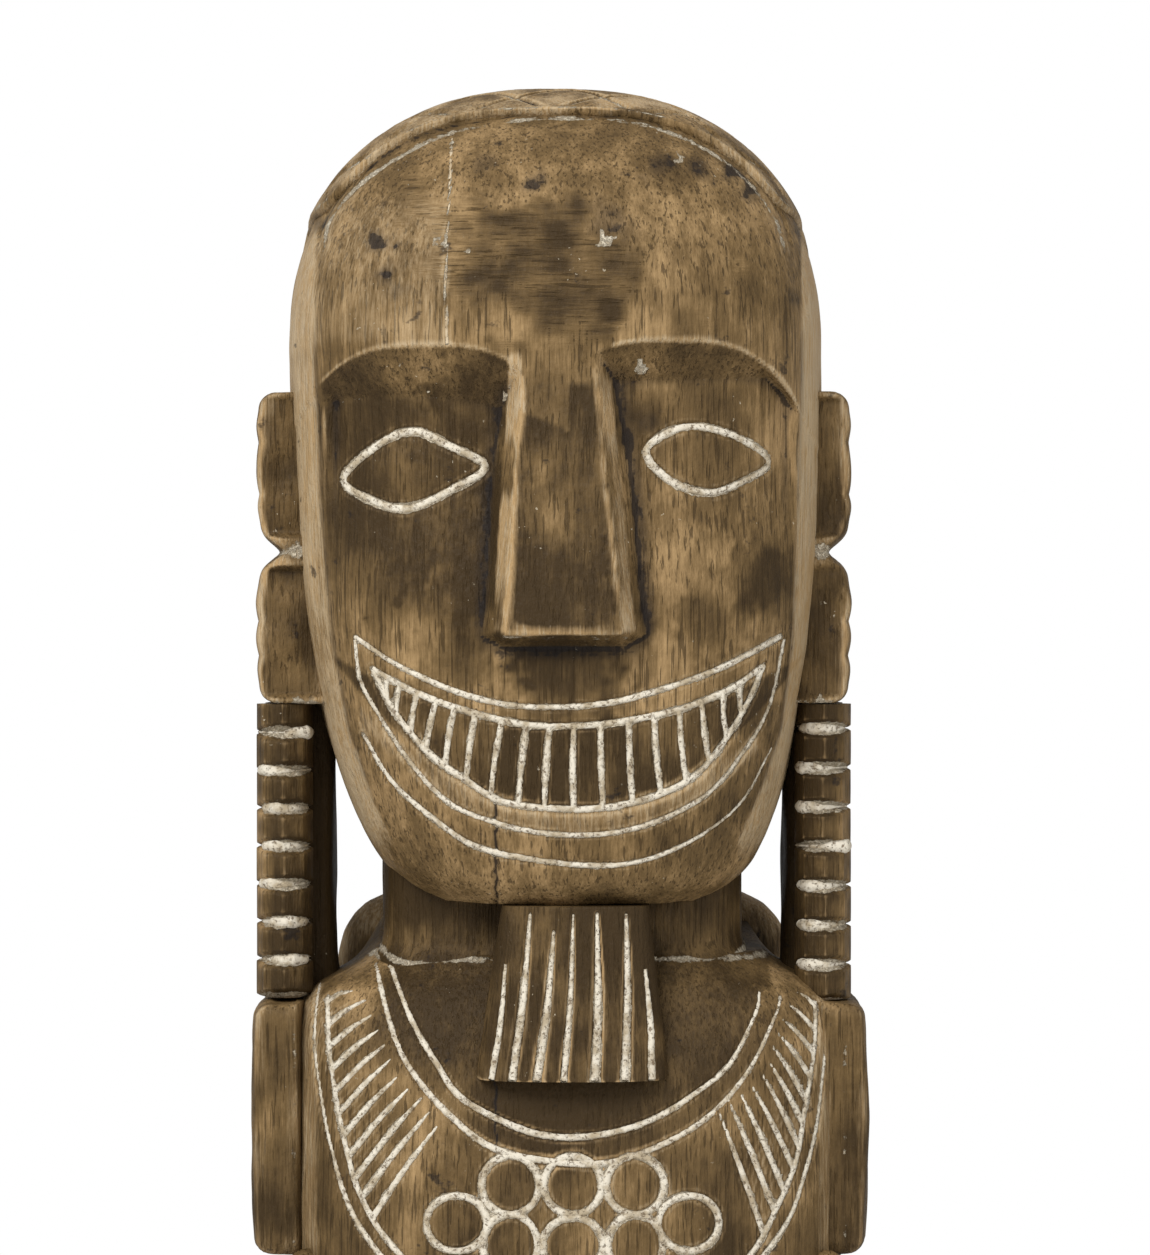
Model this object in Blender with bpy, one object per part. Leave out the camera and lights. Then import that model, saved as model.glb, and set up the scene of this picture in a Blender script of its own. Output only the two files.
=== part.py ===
"""Carved ancestor figure: a standing figure cut from one round log, with dried lime in its cuts.

The figure stands on its base at z = 0 and faces -Y, so its own left is at +X. Lengths are in metres.
The log is parted at its deep carved lines into named volumes, and each unbroken filling of lime is
a solid of its own, lying in the groove that was cut for it.
"""

import math

import bmesh
import bpy
from mathutils import Vector

# Driving dimensions
HEIGHT = 1.000
LOG_RADIUS = 0.128
BASE_HEIGHT = 0.050
GAP = 0.0003
CAP_THICKNESS = 0.0025
ROUND_SEGMENTS = 48
LIMIT = 0.150  # beyond every surface of the figure, for the far faces of cutters

# The dome of the head is half of a superellipsoid
DOME_CENTRE = 0.890
DOME_TOP = HEIGHT - CAP_THICKNESS - GAP
DOME_EXPONENT = 2.3
HEAD_CENTRE = -0.0015
HEAD_HALF_WIDTH = 0.110
HEAD_FRONT = 0.104
HEAD_BACK = 0.095

# Sections down a column of the log: height, centre in X, half-width, depth to the front, to the back
JAW_SECTIONS = [
    (0.6655, 0.0045, 0.056, 0.082, 0.010),
    (0.6720, 0.0040, 0.068, 0.090, 0.024),
    (0.6820, 0.0035, 0.0775, 0.0935, 0.036),
    (0.7050, 0.0025, 0.0885, 0.0965, 0.058),
    (0.7350, 0.0010, 0.0970, 0.0980, 0.080),
    (0.7700, 0.0004, 0.1040, 0.0980, 0.092),
    (0.8150, 0.0000, 0.1085, 0.1000, 0.095),
]
TORSO_SECTIONS = [
    (0.4000, 0.0000, 0.1060, 0.0860, 0.082),
    (0.4400, 0.0010, 0.1100, 0.0930, 0.084),
    (0.5000, 0.0030, 0.1130, 0.0890, 0.088),
    (0.5600, 0.0040, 0.1140, 0.0860, 0.092),
    (0.6000, 0.0040, 0.1140, 0.0810, 0.094),
    (0.6190, 0.0040, 0.1130, 0.0745, 0.093),
    (0.6290, 0.0040, 0.1050, 0.0700, 0.090),
    (0.6370, 0.0040, 0.0890, 0.0650, 0.084),
    (0.6435, 0.0040, 0.0800, 0.0600, 0.078),
]
# The hump of the upper back, whose sections lie round a line behind the neck
HUMP_SECTIONS = [
    (0.5800, 0.0020, 0.0700, 0.0180, 0.0250),
    (0.6200, 0.0020, 0.0960, 0.0220, 0.0300),
    (0.6450, 0.0020, 0.0950, 0.0220, 0.0280),
    (0.6580, 0.0020, 0.0860, 0.0190, 0.0220),
    (0.6640, 0.0020, 0.0740, 0.0140, 0.0150),
]
HUMP_CENTRE_Y = 0.056
LOIN_SECTIONS = [
    (0.3303, 0.0000, 0.1020, 0.0850, 0.084),
    (0.3450, 0.0000, 0.1080, 0.0910, 0.088),
    (0.3850, 0.0000, 0.1090, 0.0910, 0.087),
    (0.3997, 0.0000, 0.1060, 0.0860, 0.084),
]
LEG_SECTIONS = [
    (0.0903, 0.0520, 0.0380, 0.0380, 0.050),
    (0.1200, 0.0520, 0.0400, 0.0420, 0.062),
    (0.1700, 0.0530, 0.0460, 0.0600, 0.072),
    (0.2150, 0.0530, 0.0460, 0.0880, 0.058),
    (0.2450, 0.0530, 0.0470, 0.0860, 0.064),
    (0.3300, 0.0530, 0.0480, 0.0740, 0.078),
]

# Foot: height, inner and outer side, toes and heel
FOOT_SECTIONS = [
    (0.0503, 0.0100, 0.0860, -0.1000, 0.0600),
    (0.0640, 0.0100, 0.0860, -0.0970, 0.0600),
    (0.0780, 0.0110, 0.0870, -0.0700, 0.0580),
    (0.0900, 0.0120, 0.0880, -0.0420, 0.0540),
]

# What lies outside the cap's rim, seen from the side as (y, z): the rim is upright over the forehead
# and then drops to the back
CAP_OUTSIDE = [
    (-0.1500, 1.0200),
    (-0.0570, 1.0200),
    (-0.0570, 0.9460),
    (0.0000, 0.9400),
    (0.1500, 0.8500),
    (0.1500, 0.7900),
    (-0.1500, 0.7900),
]
CAP_LOWEST = 0.8400

# Neck: its outline as (x, y), with the front corners cut off, and its foot and top
NECK_OUTLINE = [
    (-0.0730, -0.040),
    (-0.0600, -0.055),
    (0.0620, -0.055),
    (0.0755, -0.040),
    (0.0755, 0.050),
    (-0.0730, 0.050),
]
NECK_FOOT = 0.6441
NECK_TOP = 0.7400

# Face
BROW_TOP = 0.8880
BROW_FOOT = 0.8680
CHEEK_FOOT = 0.7760
CHEEK_DEPTH = 0.0090
CHEEK_RIM = 0.0960
FIELD_HEIGHTS = [0.8885, 0.8680, 0.8560, 0.8400, 0.8200, 0.8000, 0.7755]
FIELD_SIDES = {"left": (0.0195, 0.0330, 0.0960, 0.0920), "right": (-0.0205, -0.0285, -0.0960, -0.0850)}
NOSE_TOP = 0.8930
NOSE_FOOT = 0.7730
NOSE_TOP_OUTLINE = [(-0.0230, -0.080), (0.0215, -0.080), (0.0150, -0.1015), (-0.0155, -0.1015)]
NOSE_FOOT_OUTLINE = [(-0.0330, -0.080), (0.0385, -0.080), (0.0255, -0.1135), (-0.0215, -0.1135)]

# Carved lines: V-cuts, with half their width at the surface and their depth
CUT_HALF_WIDTH = 0.0021
CUT_DEPTH = 0.0028
CUT_ABOVE = 0.0015
LIME_BELOW = 0.0005

# Paths of the carved lines on the front, as (x, z)
EYE_CORNERS = {"right": ((-0.0290, 0.8400), (-0.0870, 0.8360)), "left": ((0.0350, 0.8470), (0.0860, 0.8430))}
EYE_MIDDLES = {"right": ((-0.0560, 0.8545), (-0.0570, 0.8240)), "left": ((0.0600, 0.8565), (0.0600, 0.8300))}
LIP_CORNERS = [(-0.0820, 0.7715), (0.0905, 0.7715)]
LIP_TOP = [(-0.0440, 0.7522), (0.0010, 0.7450), (0.0445, 0.7530)]
LIP_FOOT = [(0.0860, 0.7460), (0.0590, 0.7095), (0.0050, 0.6942), (-0.0440, 0.7068), (-0.0735, 0.7430)]
BITE_CORNERS = [(-0.0745, 0.7595), (0.0830, 0.7610)]
BITE_TOP = [(-0.0400, 0.7442), (0.0070, 0.7372), (0.0510, 0.7447)]
BITE_FOOT = [(0.0730, 0.7410), (0.0445, 0.7115), (0.0030, 0.7042), (-0.0370, 0.7155), (-0.0655, 0.7430)]
CHIN_LINE = [(-0.0785, 0.7330), (-0.0440, 0.6953), (0.0060, 0.6812), (0.0500, 0.6895), (0.0860, 0.7275)]
FOREHEAD_CHECK = [(-0.0442, 0.8900), (-0.0440, 0.9300), (-0.0430, 0.9680)]
NECKLACE_INNER = [
    (-0.0670, 0.6350),
    (-0.0490, 0.6010),
    (-0.0160, 0.5765),
    (0.0300, 0.5765),
    (0.0640, 0.5985),
    (0.0800, 0.6240),
]
NECKLACE_OUTER = [
    (-0.0735, 0.6340),
    (-0.0560, 0.5935),
    (-0.0200, 0.5690),
    (0.0330, 0.5685),
    (0.0720, 0.5925),
    (0.0890, 0.6250),
]
COLLAR_EDGES = {
    "right": [
        (-0.0990, 0.6230),
        (-0.0990, 0.5880),
        (-0.0900, 0.5520),
        (-0.0680, 0.5160),
        (-0.0300, 0.4820),
        (0.0000, 0.4260),
    ],
    "left": [
        (0.1080, 0.6130),
        (0.1050, 0.5730),
        (0.0925, 0.5350),
        (0.0700, 0.5050),
        (0.0360, 0.4780),
        (0.0110, 0.4260),
    ],
}
CRESCENTS = {
    "right": [(-0.0940, 0.6250), (-0.0920, 0.5950), (-0.0860, 0.5640), (-0.0740, 0.5360), (-0.0540, 0.5130)],
    "left": [(0.1040, 0.6210), (0.1040, 0.5930), (0.0975, 0.5620), (0.0860, 0.5360), (0.0680, 0.5140)],
}
FRINGE_ENDS = {
    "right": [(-0.0850, 0.6290), (-0.0740, 0.6140), (-0.0640, 0.5950), (-0.0450, 0.5720)],
    "left": [(0.0980, 0.6270), (0.0900, 0.6120), (0.0780, 0.5940), (0.0600, 0.5800)],
}

# Repeated lines
TOOTH_LINES = 17
BEARD_STROKES = 7
FRINGE_STROKES = 10
RING_ROWS = (3, 5)
RING_TOP_ROW = 0.5505
RING_RADIUS = 0.0119
RING_ROW_PITCH = 0.0222
RING_PITCH = 0.0247
RING_MIDDLE = (0.0060, 0.0070)
OUTER_RING_LIFT = 0.0085
OUTER_RING_SQUEEZE = 0.94

# Teeth: the curves on which the lines between them start and end
TEETH_MIDDLE = 0.0045
TEETH_HALF_WIDTH = 0.0640
TEETH_TOP = 0.7372
TEETH_TOP_RISE = 0.0155
TEETH_FOOT = 0.7046
TEETH_FOOT_RISE = 0.0385
TEETH_LEAN = 0.0035
TEETH_OVERRUN = 0.0006

# Beard: its upper and lower edge as (height, right side, left side), and its strokes
BEARD_EDGES = [(0.6645, -0.0225, 0.0360), (0.5955, -0.0335, 0.0440)]
BEARD_BACK = -0.0555
STROKE_STARTS = (0.0068, 0.0270)
STROKE_ENDS = (0.0055, 0.0305)

# Ears, pendants and arms: reach in X on each side of the figure
SIDES = {"left": 1, "right": -1}
EAR_REACH = {"left": 0.1205, "right": 0.1245}
ARM_REACH = {"left": 0.1270, "right": 0.1260}
ARM_THICKNESS = 0.016
ARM_FRONT = -0.052
ARM_BACK = 0.045
FOREARM_ROUTE = [(0.1085, 0.5130), (0.0900, 0.4850), (0.0560, 0.4600), (0.0260, 0.4480)]
FOREARM_SECTION = [(-0.0130, 0.0075), (0.0130, 0.0075), (0.0150, -0.0040), (-0.0150, -0.0040)]
BODY_MIDDLE = 0.003
EAR_FRONT = -0.045
EAR_BACK = 0.030
EAR_INNER = 0.088
# An ear's outer edge from the top down: how far it lies inside the reach, and its height
EAR_EDGE = [
    (0.0060, 0.8727),
    (0.0006, 0.8660),
    (0.0000, 0.8420),
    (0.0000, 0.8180),
    (0.0050, 0.8110),
    (0.0082, 0.8073),
    (0.0050, 0.8035),
    (0.0000, 0.7970),
    (0.0000, 0.7740),
    (0.0008, 0.7520),
    (0.0050, 0.7455),
]
PENDANT_TOP = 0.7451
PENDANT_FOOT = 0.6240
FIRST_NOTCH = {"left": 0.7351, "right": 0.7334}
NOTCH_PITCH = {"left": 0.0161, "right": 0.0155}
NOTCH_COUNT = 7
ROD_HALF_WIDTH = 0.0120
ROD_HALF_DEPTH = 0.0155
ROD_CENTRE_Y = -0.0290
NOTCH_HALF_HEIGHT = 0.0026
NOTCH_DEPTH = 0.0060
DAB_SUNK = 0.0020
WEB_INNER = 0.0935
WEB_FRONT = -0.0130
WEB_BACK = 0.0270

WOOD = (0.165, 0.098, 0.047)
WOOD_WORN = (0.235, 0.145, 0.071)
WOOD_DARK = (0.090, 0.054, 0.030)
LIME = (0.760, 0.690, 0.560)


def clear_scene():
    """Remove what a new scene holds."""
    for obj in list(bpy.data.objects):
        bpy.data.objects.remove(obj, do_unlink=True)


def make_material(name, colour, roughness):
    """Return a Principled material of one colour."""
    material = bpy.data.materials.new(name)
    material.use_nodes = True
    shader = material.node_tree.nodes["Principled BSDF"]
    shader.inputs["Base Color"].default_value = (*colour, 1.0)
    shader.inputs["Roughness"].default_value = roughness
    shader.inputs["Metallic"].default_value = 0.0
    return material


def add_object(name, mesh, colour, roughness=0.55):
    """Put a mesh in the scene as a sub-part with a material of its own."""
    obj = bpy.data.objects.new(name, mesh)
    mesh.materials.append(make_material(name, colour, roughness))
    bpy.context.scene.collection.objects.link(obj)
    return obj


def add_cutter(name, mesh):
    """Put a mesh in the scene as a cutter, which isn't a sub-part."""
    obj = bpy.data.objects.new(name, mesh)
    obj.hide_render = True
    obj.display_type = "WIRE"
    bpy.context.scene.collection.objects.link(obj)
    return obj


def boolean(obj, other, operation):
    """Cut an object with another one, or join it to its shape."""
    modifier = obj.modifiers.new(f"{operation.lower()}_{other.name}", "BOOLEAN")
    modifier.operation = operation
    modifier.solver = "EXACT"
    modifier.object = other


def boolean_all(obj, others, operation):
    """Cut an object with several shapes, which may cross each other."""
    group = bpy.data.collections.new(f"{operation.lower()}_{obj.name}")
    for other in others:
        group.objects.link(other)
    modifier = obj.modifiers.new(group.name, "BOOLEAN")
    modifier.operation = operation
    modifier.solver = "EXACT"
    modifier.operand_type = "COLLECTION"
    modifier.collection = group


def mesh_from(name, build):
    """Return a mesh of flat triangles that point out, filled by the function build(bm)."""
    bm = bmesh.new()
    build(bm)
    bmesh.ops.triangulate(bm, faces=bm.faces)
    bmesh.ops.recalc_face_normals(bm, faces=bm.faces)
    mesh = bpy.data.meshes.new(name)
    bm.to_mesh(mesh)
    bm.free()
    return mesh


def loft(name, rings, closed=False, smooth=True):
    """Join rings of points with quads. An open loft gets a flat cap at each end."""

    def build(bm):
        rows = [[bm.verts.new(point) for point in ring] for ring in rings]
        pairs = list(zip(rows, rows[1:]))
        if closed:
            pairs.append((rows[-1], rows[0]))
        else:
            bm.faces.new(rows[0])
            bm.faces.new(rows[-1])
        for lower, upper in pairs:
            for i, corner in enumerate(lower):
                j = (i + 1) % len(lower)
                bm.faces.new((corner, lower[j], upper[j], upper[i]))

    mesh = mesh_from(name, build)
    if smooth:
        mesh.shade_smooth()
        mesh.set_sharp_from_angle(angle=math.radians(35))
    return mesh


def extrude_outline(name, outline, front, back):
    """Extrude an outline of (x, z) points along Y."""
    return loft(name, [[(x, y, z) for x, z in outline] for y in (front, back)], smooth=False)


def box(name, low, high):
    """Return a box between two opposite corners."""
    outline = [(low[0], low[2]), (high[0], low[2]), (high[0], high[2]), (low[0], high[2])]
    return extrude_outline(name, outline, low[1], high[1])


def smooth_step(value, start, end):
    """Ease from 0 at start to 1 at end."""
    t = min(1.0, max(0.0, (value - start) / (end - start)))
    return t * t * (3.0 - 2.0 * t)


def hermite(a, b, slope_a, slope_b, t):
    """Cubic between two values with given slopes."""
    t2 = t * t
    t3 = t2 * t
    start = (2 * t3 - 3 * t2 + 1) * a + (t3 - 2 * t2 + t) * slope_a
    return start + (3 * t2 - 2 * t3) * b + (t3 - t2) * slope_b


def smooth_path(points, pieces):
    """Return a smooth curve through the points, with so many pieces between each two."""
    points = [Vector(p) for p in points]
    ends = [points[0] * 2 - points[1]] + points + [points[-1] * 2 - points[-2]]
    path = []
    for before, a, b, after in zip(ends, ends[1:], ends[2:], ends[3:]):
        for step in range(pieces):
            t = step / pieces
            slope_a, slope_b = (b - before) / 2, (after - a) / 2
            path.append([hermite(a[i], b[i], slope_a[i], slope_b[i], t) for i in (0, 1)])
    path.append(list(points[-1]))
    return path


def circle_path(x, z, radius, pieces):
    """Return a closed ring of points."""
    turns = [math.tau * i / pieces for i in range(pieces)]
    return [[x + radius * math.cos(t), z + radius * math.sin(t)] for t in turns]


class Column:
    """A tall rounded volume: superellipse sections that change smoothly with height."""

    def __init__(self, sections, exponent=3.0):
        self.sections = sections
        self.exponent = exponent

    def section(self, z):
        """Return centre, half-width, front depth and back depth at a height."""
        rows = self.sections
        z = min(max(z, rows[0][0]), rows[-1][0])
        k = max(i for i, row in enumerate(rows[:-1]) if row[0] <= z)
        a, b = rows[k], rows[k + 1]
        before, after = rows[max(k - 1, 0)], rows[min(k + 2, len(rows) - 1)]
        span = b[0] - a[0]
        t = (z - a[0]) / span
        return [
            hermite(
                a[i],
                b[i],
                (b[i] - before[i]) / (b[0] - before[0]) * span,
                (after[i] - a[i]) / (after[0] - a[0]) * span,
                t,
            )
            for i in range(1, 5)
        ]

    def ring(self, z, grow=0.0, segments=ROUND_SEGMENTS):
        """Return the outline at a height, grown outward by a clearance."""
        centre, half_width, front, back = self.section(z)
        points = []
        for i in range(segments):
            turn = math.tau * i / segments
            depth = (back if turn < math.pi else front) + grow
            across = abs(math.cos(turn) / (half_width + grow)) ** self.exponent
            along = abs(math.sin(turn) / depth) ** self.exponent
            reach = (across + along) ** (-1.0 / self.exponent)
            points.append((centre + reach * math.cos(turn), reach * math.sin(turn), z))
        return points

    def mesh(self, name, levels, grow=0.0, segments=ROUND_SEGMENTS):
        """Return the volume over a list of heights, grown by a clearance, ends included."""
        rings = [self.ring(z, grow, segments) for z in levels]
        if grow:
            rings[0] = [(x, y, z - grow) for x, y, z in rings[0]]
            rings[-1] = [(x, y, z + grow) for x, y, z in rings[-1]]
        return loft(name, rings)

    def front(self, x, z):
        """Return y on the front surface."""
        centre, half_width, front, _ = self.section(z)
        across = min(0.999, abs(x - centre) / half_width)
        return -front * (1.0 - across**self.exponent) ** (1.0 / self.exponent)


def dome_sections(count):
    """Return the sections of the head's dome, from its widest height to the crown."""
    rows = []
    for i in range(count):
        lift = math.sin(0.497 * math.pi * i / (count - 1))
        size = (1.0 - lift**DOME_EXPONENT) ** (1.0 / DOME_EXPONENT)
        z = DOME_CENTRE + (DOME_TOP - DOME_CENTRE) * lift
        rows.append((z, HEAD_CENTRE, HEAD_HALF_WIDTH * size, HEAD_FRONT * size, HEAD_BACK * size))
    return rows


def spaced(low, high, count):
    """Return evenly spaced values from low to high."""
    return [low + (high - low) * i / (count - 1) for i in range(count)]


DOME = dome_sections(9)
HEAD = Column(JAW_SECTIONS + DOME)
TORSO = Column(TORSO_SECTIONS, exponent=3.2)
LOIN = Column(LOIN_SECTIONS, exponent=3.0)
HEAD_LEVELS = [0.6655, 0.6720, 0.6820] + spaced(0.6970, 0.8690, 9) + [row[0] for row in DOME]
TORSO_LEVELS = spaced(0.4000, 0.6050, 9) + [0.6190, 0.6290, 0.6370, 0.6435]


def cheek_depth(x, z):
    """Return how far the eye and cheek field lies behind the head's rounded surface."""
    down_brow = (BROW_TOP - z) / (BROW_TOP - BROW_FOOT)
    depth = CHEEK_DEPTH * min(1.0, max(down_brow, 0.0)) * smooth_step(z, CHEEK_FOOT, BROW_FOOT)
    return depth * (1.0 - 0.5 * (abs(x) / CHEEK_RIM) ** 4)


def face(x, z):
    """Return y on the carved face."""
    return HEAD.front(x, z) + cheek_depth(x, z)


def beard_front(x, z):
    """Return y on the front of the beard."""
    return -0.0900 - 0.08 * (0.664 - z) + 4.0 * (x - 0.006) ** 2


def surface_normal(surface, x, z):
    """Return the outward normal of a front surface y = surface(x, z)."""
    step = 0.0005
    slope_x = (surface(x + step, z) - surface(x - step, z)) / (2 * step)
    slope_z = (surface(x, z + step) - surface(x, z - step)) / (2 * step)
    return Vector((slope_x, -1.0, slope_z)).normalized()


class CarvedLine:
    """A line cut into a front surface: its tool, and the lime that lies in it."""

    def __init__(self, surface, path, closed=False, width=1.0, taper=(1.0, 1.0), deeper=0.0):
        self.surface = surface
        self.path = path
        self.closed = closed
        self.width = width
        self.taper = taper
        self.depth = CUT_DEPTH + deeper

    def sweep(self, name, section_at, shorter=0.0):
        """Carry a section of (side, height) corners along the path, ended a little shorter if asked."""
        points = [Vector((x, self.surface(x, z), z)) for x, z in self.path]
        if not self.closed:
            points[0] = points[0] + (points[1] - points[0]).normalized() * shorter
            points[-1] = points[-1] + (points[-2] - points[-1]).normalized() * shorter
        count = len(points)
        rings = []
        for i, point in enumerate(points):
            before = points[i - 1] if i or self.closed else point
            after = points[(i + 1) % count] if i < count - 1 or self.closed else point
            ahead = (after - point).normalized() if after != point else (point - before).normalized()
            behind = (point - before).normalized() if before != point else ahead
            tangent = (ahead + behind).normalized()
            normal = surface_normal(self.surface, point.x, point.z)
            side = tangent.cross(normal).normalized()
            mitre = min(2.0, 1.0 / max(0.3, tangent.dot(ahead)))
            share = i / max(1, count - 1)
            taper = self.taper[0] + (self.taper[1] - self.taper[0]) * share
            section = section_at(CUT_HALF_WIDTH * self.width * taper)
            rings.append([point + side * across * mitre + normal * height for across, height in section])
        return loft(name, rings, closed=self.closed, smooth=False)

    def tool_section(self, half_width):
        """Return the V of the cut, carried on above the surface."""
        top = half_width * (1.0 + CUT_ABOVE / self.depth)
        return [(-top, CUT_ABOVE), (top, CUT_ABOVE), (0.0, -self.depth)]

    def lime_section(self, half_width):
        """Return the V of the filling, clear of the cut's walls."""
        clearance = GAP * math.hypot(1.0, half_width / self.depth)
        top = half_width * (1.0 - LIME_BELOW / self.depth) - clearance
        low = self.depth * (1.0 - clearance / half_width)
        return [(-top, -LIME_BELOW), (top, -LIME_BELOW), (0.0, -low)]

    def tool(self, name):
        """Return the cutter of the groove."""
        return add_cutter(f"cut_{name}", self.sweep(name, self.tool_section))

    def lime_mesh(self, name):
        """Return the filling."""
        return self.sweep(name, self.lime_section, shorter=GAP)


def fill(name, lines):
    """Make one filling from lines that run into each other, and return the cutters of its grooves."""
    obj = add_object(name, lines[0].lime_mesh(name), LIME, 0.9)
    others = [add_cutter(f"{name}_{i}", line.lime_mesh(name)) for i, line in enumerate(lines[1:])]
    if others:
        boolean_all(obj, others, "UNION")
    return [line.tool(f"{name}_{i}") for i, line in enumerate(lines)]


def eye_line(side):
    """Make the almond line round an eye, and return its cutters."""
    corner_in, corner_out = EYE_CORNERS[side]
    top, foot = EYE_MIDDLES[side]
    upper = smooth_path([corner_out, top, corner_in], 5)
    lower = smooth_path([corner_in, foot, corner_out], 5)
    return fill(f"{side}_eye_line", [CarvedLine(face, upper[:-1] + lower[:-1], closed=True)])


def ring_through(corners, top, foot):
    """Return a closed path with two corners, over the top and back under the foot."""
    upper = smooth_path([corners[0], *top, corners[1]], 3)
    lower = smooth_path([corners[1], *foot, corners[0]], 3)
    return upper[:-1] + lower[:-1]


def mouth_lines():
    """Make the lips, the teeth and the chin line, and return their cutters."""
    lips = [CarvedLine(face, ring_through(LIP_CORNERS, LIP_TOP, LIP_FOOT), closed=True, width=0.85)]
    teeth = [CarvedLine(face, ring_through(BITE_CORNERS, BITE_TOP, BITE_FOOT), closed=True, width=0.75)]
    for i in range(TOOTH_LINES):
        share = i / (TOOTH_LINES - 1) * 2.0 - 1.0
        x = TEETH_MIDDLE + TEETH_HALF_WIDTH * share
        top = TEETH_TOP + TEETH_TOP_RISE * abs(share) ** 2.0 + TEETH_OVERRUN
        foot = TEETH_FOOT + TEETH_FOOT_RISE * abs(share) ** 2.4 - TEETH_OVERRUN
        path = [(x, top), (x + TEETH_LEAN * share, foot)]
        teeth.append(CarvedLine(face, path, width=0.6, deeper=-0.00025))
    cutters = fill("lip_line", lips)
    cutters += fill("teeth_lines", teeth)
    cutters += fill("chin_line", [CarvedLine(face, smooth_path(CHIN_LINE, 4), width=0.75, taper=(0.8, 0.7))])
    return cutters


def cheek_field(side):
    """Return the cutter of one eye and cheek field, from the nose's side to the face's rim."""
    nose_top, nose_foot, rim_top, rim_foot = FIELD_SIDES[side]
    highest, lowest = FIELD_HEIGHTS[0], FIELD_HEIGHTS[-1]
    rings = []
    for z in FIELD_HEIGHTS:
        down = (highest - z) / (highest - lowest)
        row = spaced(nose_top + (nose_foot - nose_top) * down, rim_top + (rim_foot - rim_top) * down, 8)
        clear = 0.0004 if z in (highest, lowest) else 0.0
        back = [(x, face(x, z) - clear, z) for x in row]
        rings.append(back + [(x, -LIMIT, z) for x in reversed(row)])
    return add_cutter(f"cut_{side}_cheek", loft("cheek", rings, smooth=False))


def nose_mesh():
    """Return the slab of the nose, which widens downward and runs up into the forehead."""
    ends = ((NOSE_TOP_OUTLINE, NOSE_TOP), (NOSE_FOOT_OUTLINE, NOSE_FOOT))
    return loft("nose", [[(x, y, z) for x, y in outline] for outline, z in ends], smooth=False)


def build_head():
    """Make the head with its face, and the lime in its lines."""
    head = add_object("head", HEAD.mesh("head", HEAD_LEVELS), WOOD_WORN, 0.5)
    for side in SIDES:
        boolean(head, cheek_field(side), "DIFFERENCE")
    boolean(head, add_cutter("join_nose", nose_mesh()), "UNION")
    cutters = mouth_lines()
    for side in SIDES:
        cutters += eye_line(side)
    check = CarvedLine(face, smooth_path(FOREHEAD_CHECK, 4), width=0.45)
    cutters += fill("forehead_check_filler", [check])
    boolean_all(head, cutters, "DIFFERENCE")


def build_cap():
    """Make the raised skullcap, a shell over the crown that ends at the cap's rim."""
    levels = [z for z in HEAD_LEVELS if z > CAP_LOWEST]
    cap = add_object("skull_cap", HEAD.mesh("skull_cap", levels, grow=CAP_THICKNESS + GAP), WOOD_DARK, 0.6)
    below = loft("below", [[(x, y, z) for y, z in CAP_OUTSIDE] for x in (-LIMIT, LIMIT)], smooth=False)
    boolean(cap, add_cutter("cut_below_cap", below), "DIFFERENCE")
    boolean(cap, add_cutter("cut_cap_hollow", HEAD.mesh("cap_hollow", HEAD_LEVELS, grow=GAP)), "DIFFERENCE")


def build_ear(side, head_clearance):
    """Make an ear: an upper and a lower lobe with a notch between them."""
    edge = [(EAR_REACH[side] - inside, z) for inside, z in EAR_EDGE]
    outline = [(EAR_INNER, EAR_EDGE[0][1]), *edge, (EAR_INNER, EAR_EDGE[-1][1])]
    outline = [(SIDES[side] * x, z) for x, z in outline]
    ear = add_object(f"{side}_ear", extrude_outline("ear", outline, EAR_FRONT, EAR_BACK), WOOD)
    boolean(ear, head_clearance, "DIFFERENCE")


def rod_ring(x, z, shrink):
    """Return an eight-sided section of a pendant rod."""
    half_width, half_depth = ROD_HALF_WIDTH - shrink, ROD_HALF_DEPTH - shrink
    cut = 0.42
    corners = [(1, cut), (cut, 1), (-cut, 1), (-1, cut), (-1, -cut), (-cut, -1), (cut, -1), (1, -cut)]
    return [(x + half_width * u, ROD_CENTRE_Y + half_depth * v, z) for u, v in corners]


def build_pendant(side, head_clearance, torso_clearance):
    """Make an ear pendant: a faceted rod with V-notches, a ring of lime in each, and its web."""
    sign = SIDES[side]
    x = sign * (EAR_REACH[side] - ROD_HALF_WIDTH)
    notches = [FIRST_NOTCH[side] - NOTCH_PITCH[side] * i for i in range(NOTCH_COUNT)]
    rings = [rod_ring(x, PENDANT_TOP, 0.0)]
    for z in notches:
        rings.append(rod_ring(x, z + NOTCH_HALF_HEIGHT, 0.0))
        rings.append(rod_ring(x, z, NOTCH_DEPTH))
        rings.append(rod_ring(x, z - NOTCH_HALF_HEIGHT, 0.0))
    rings.append(rod_ring(x, PENDANT_FOOT, 0.0))
    rod = add_object(f"{side}_ear_pendant", loft("pendant", rings, smooth=False), WOOD)
    boolean(rod, torso_clearance, "DIFFERENCE")
    boolean(rod, head_clearance, "DIFFERENCE")
    for i, z in enumerate(notches):
        half = NOTCH_HALF_HEIGHT * (NOTCH_DEPTH - DAB_SUNK) / NOTCH_DEPTH - 1.4 * GAP
        dab = [
            rod_ring(x, z + half, DAB_SUNK),
            rod_ring(x, z, NOTCH_DEPTH - 2 * GAP),
            rod_ring(x, z - half, DAB_SUNK),
        ]
        add_object(f"{side}_pendant_lime_{i + 1}", loft("dab", dab, closed=True, smooth=False), LIME, 0.9)
    inner, outer = sorted((sign * WEB_INNER, sign * (EAR_REACH[side] - 0.0015)))
    web = box("web", (inner, WEB_FRONT, PENDANT_FOOT), (outer, WEB_BACK, PENDANT_TOP))
    web = add_object(f"{side}_pendant_web", web, WOOD_DARK)
    boolean(web, torso_clearance, "DIFFERENCE")
    boolean(web, head_clearance, "DIFFERENCE")


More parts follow.
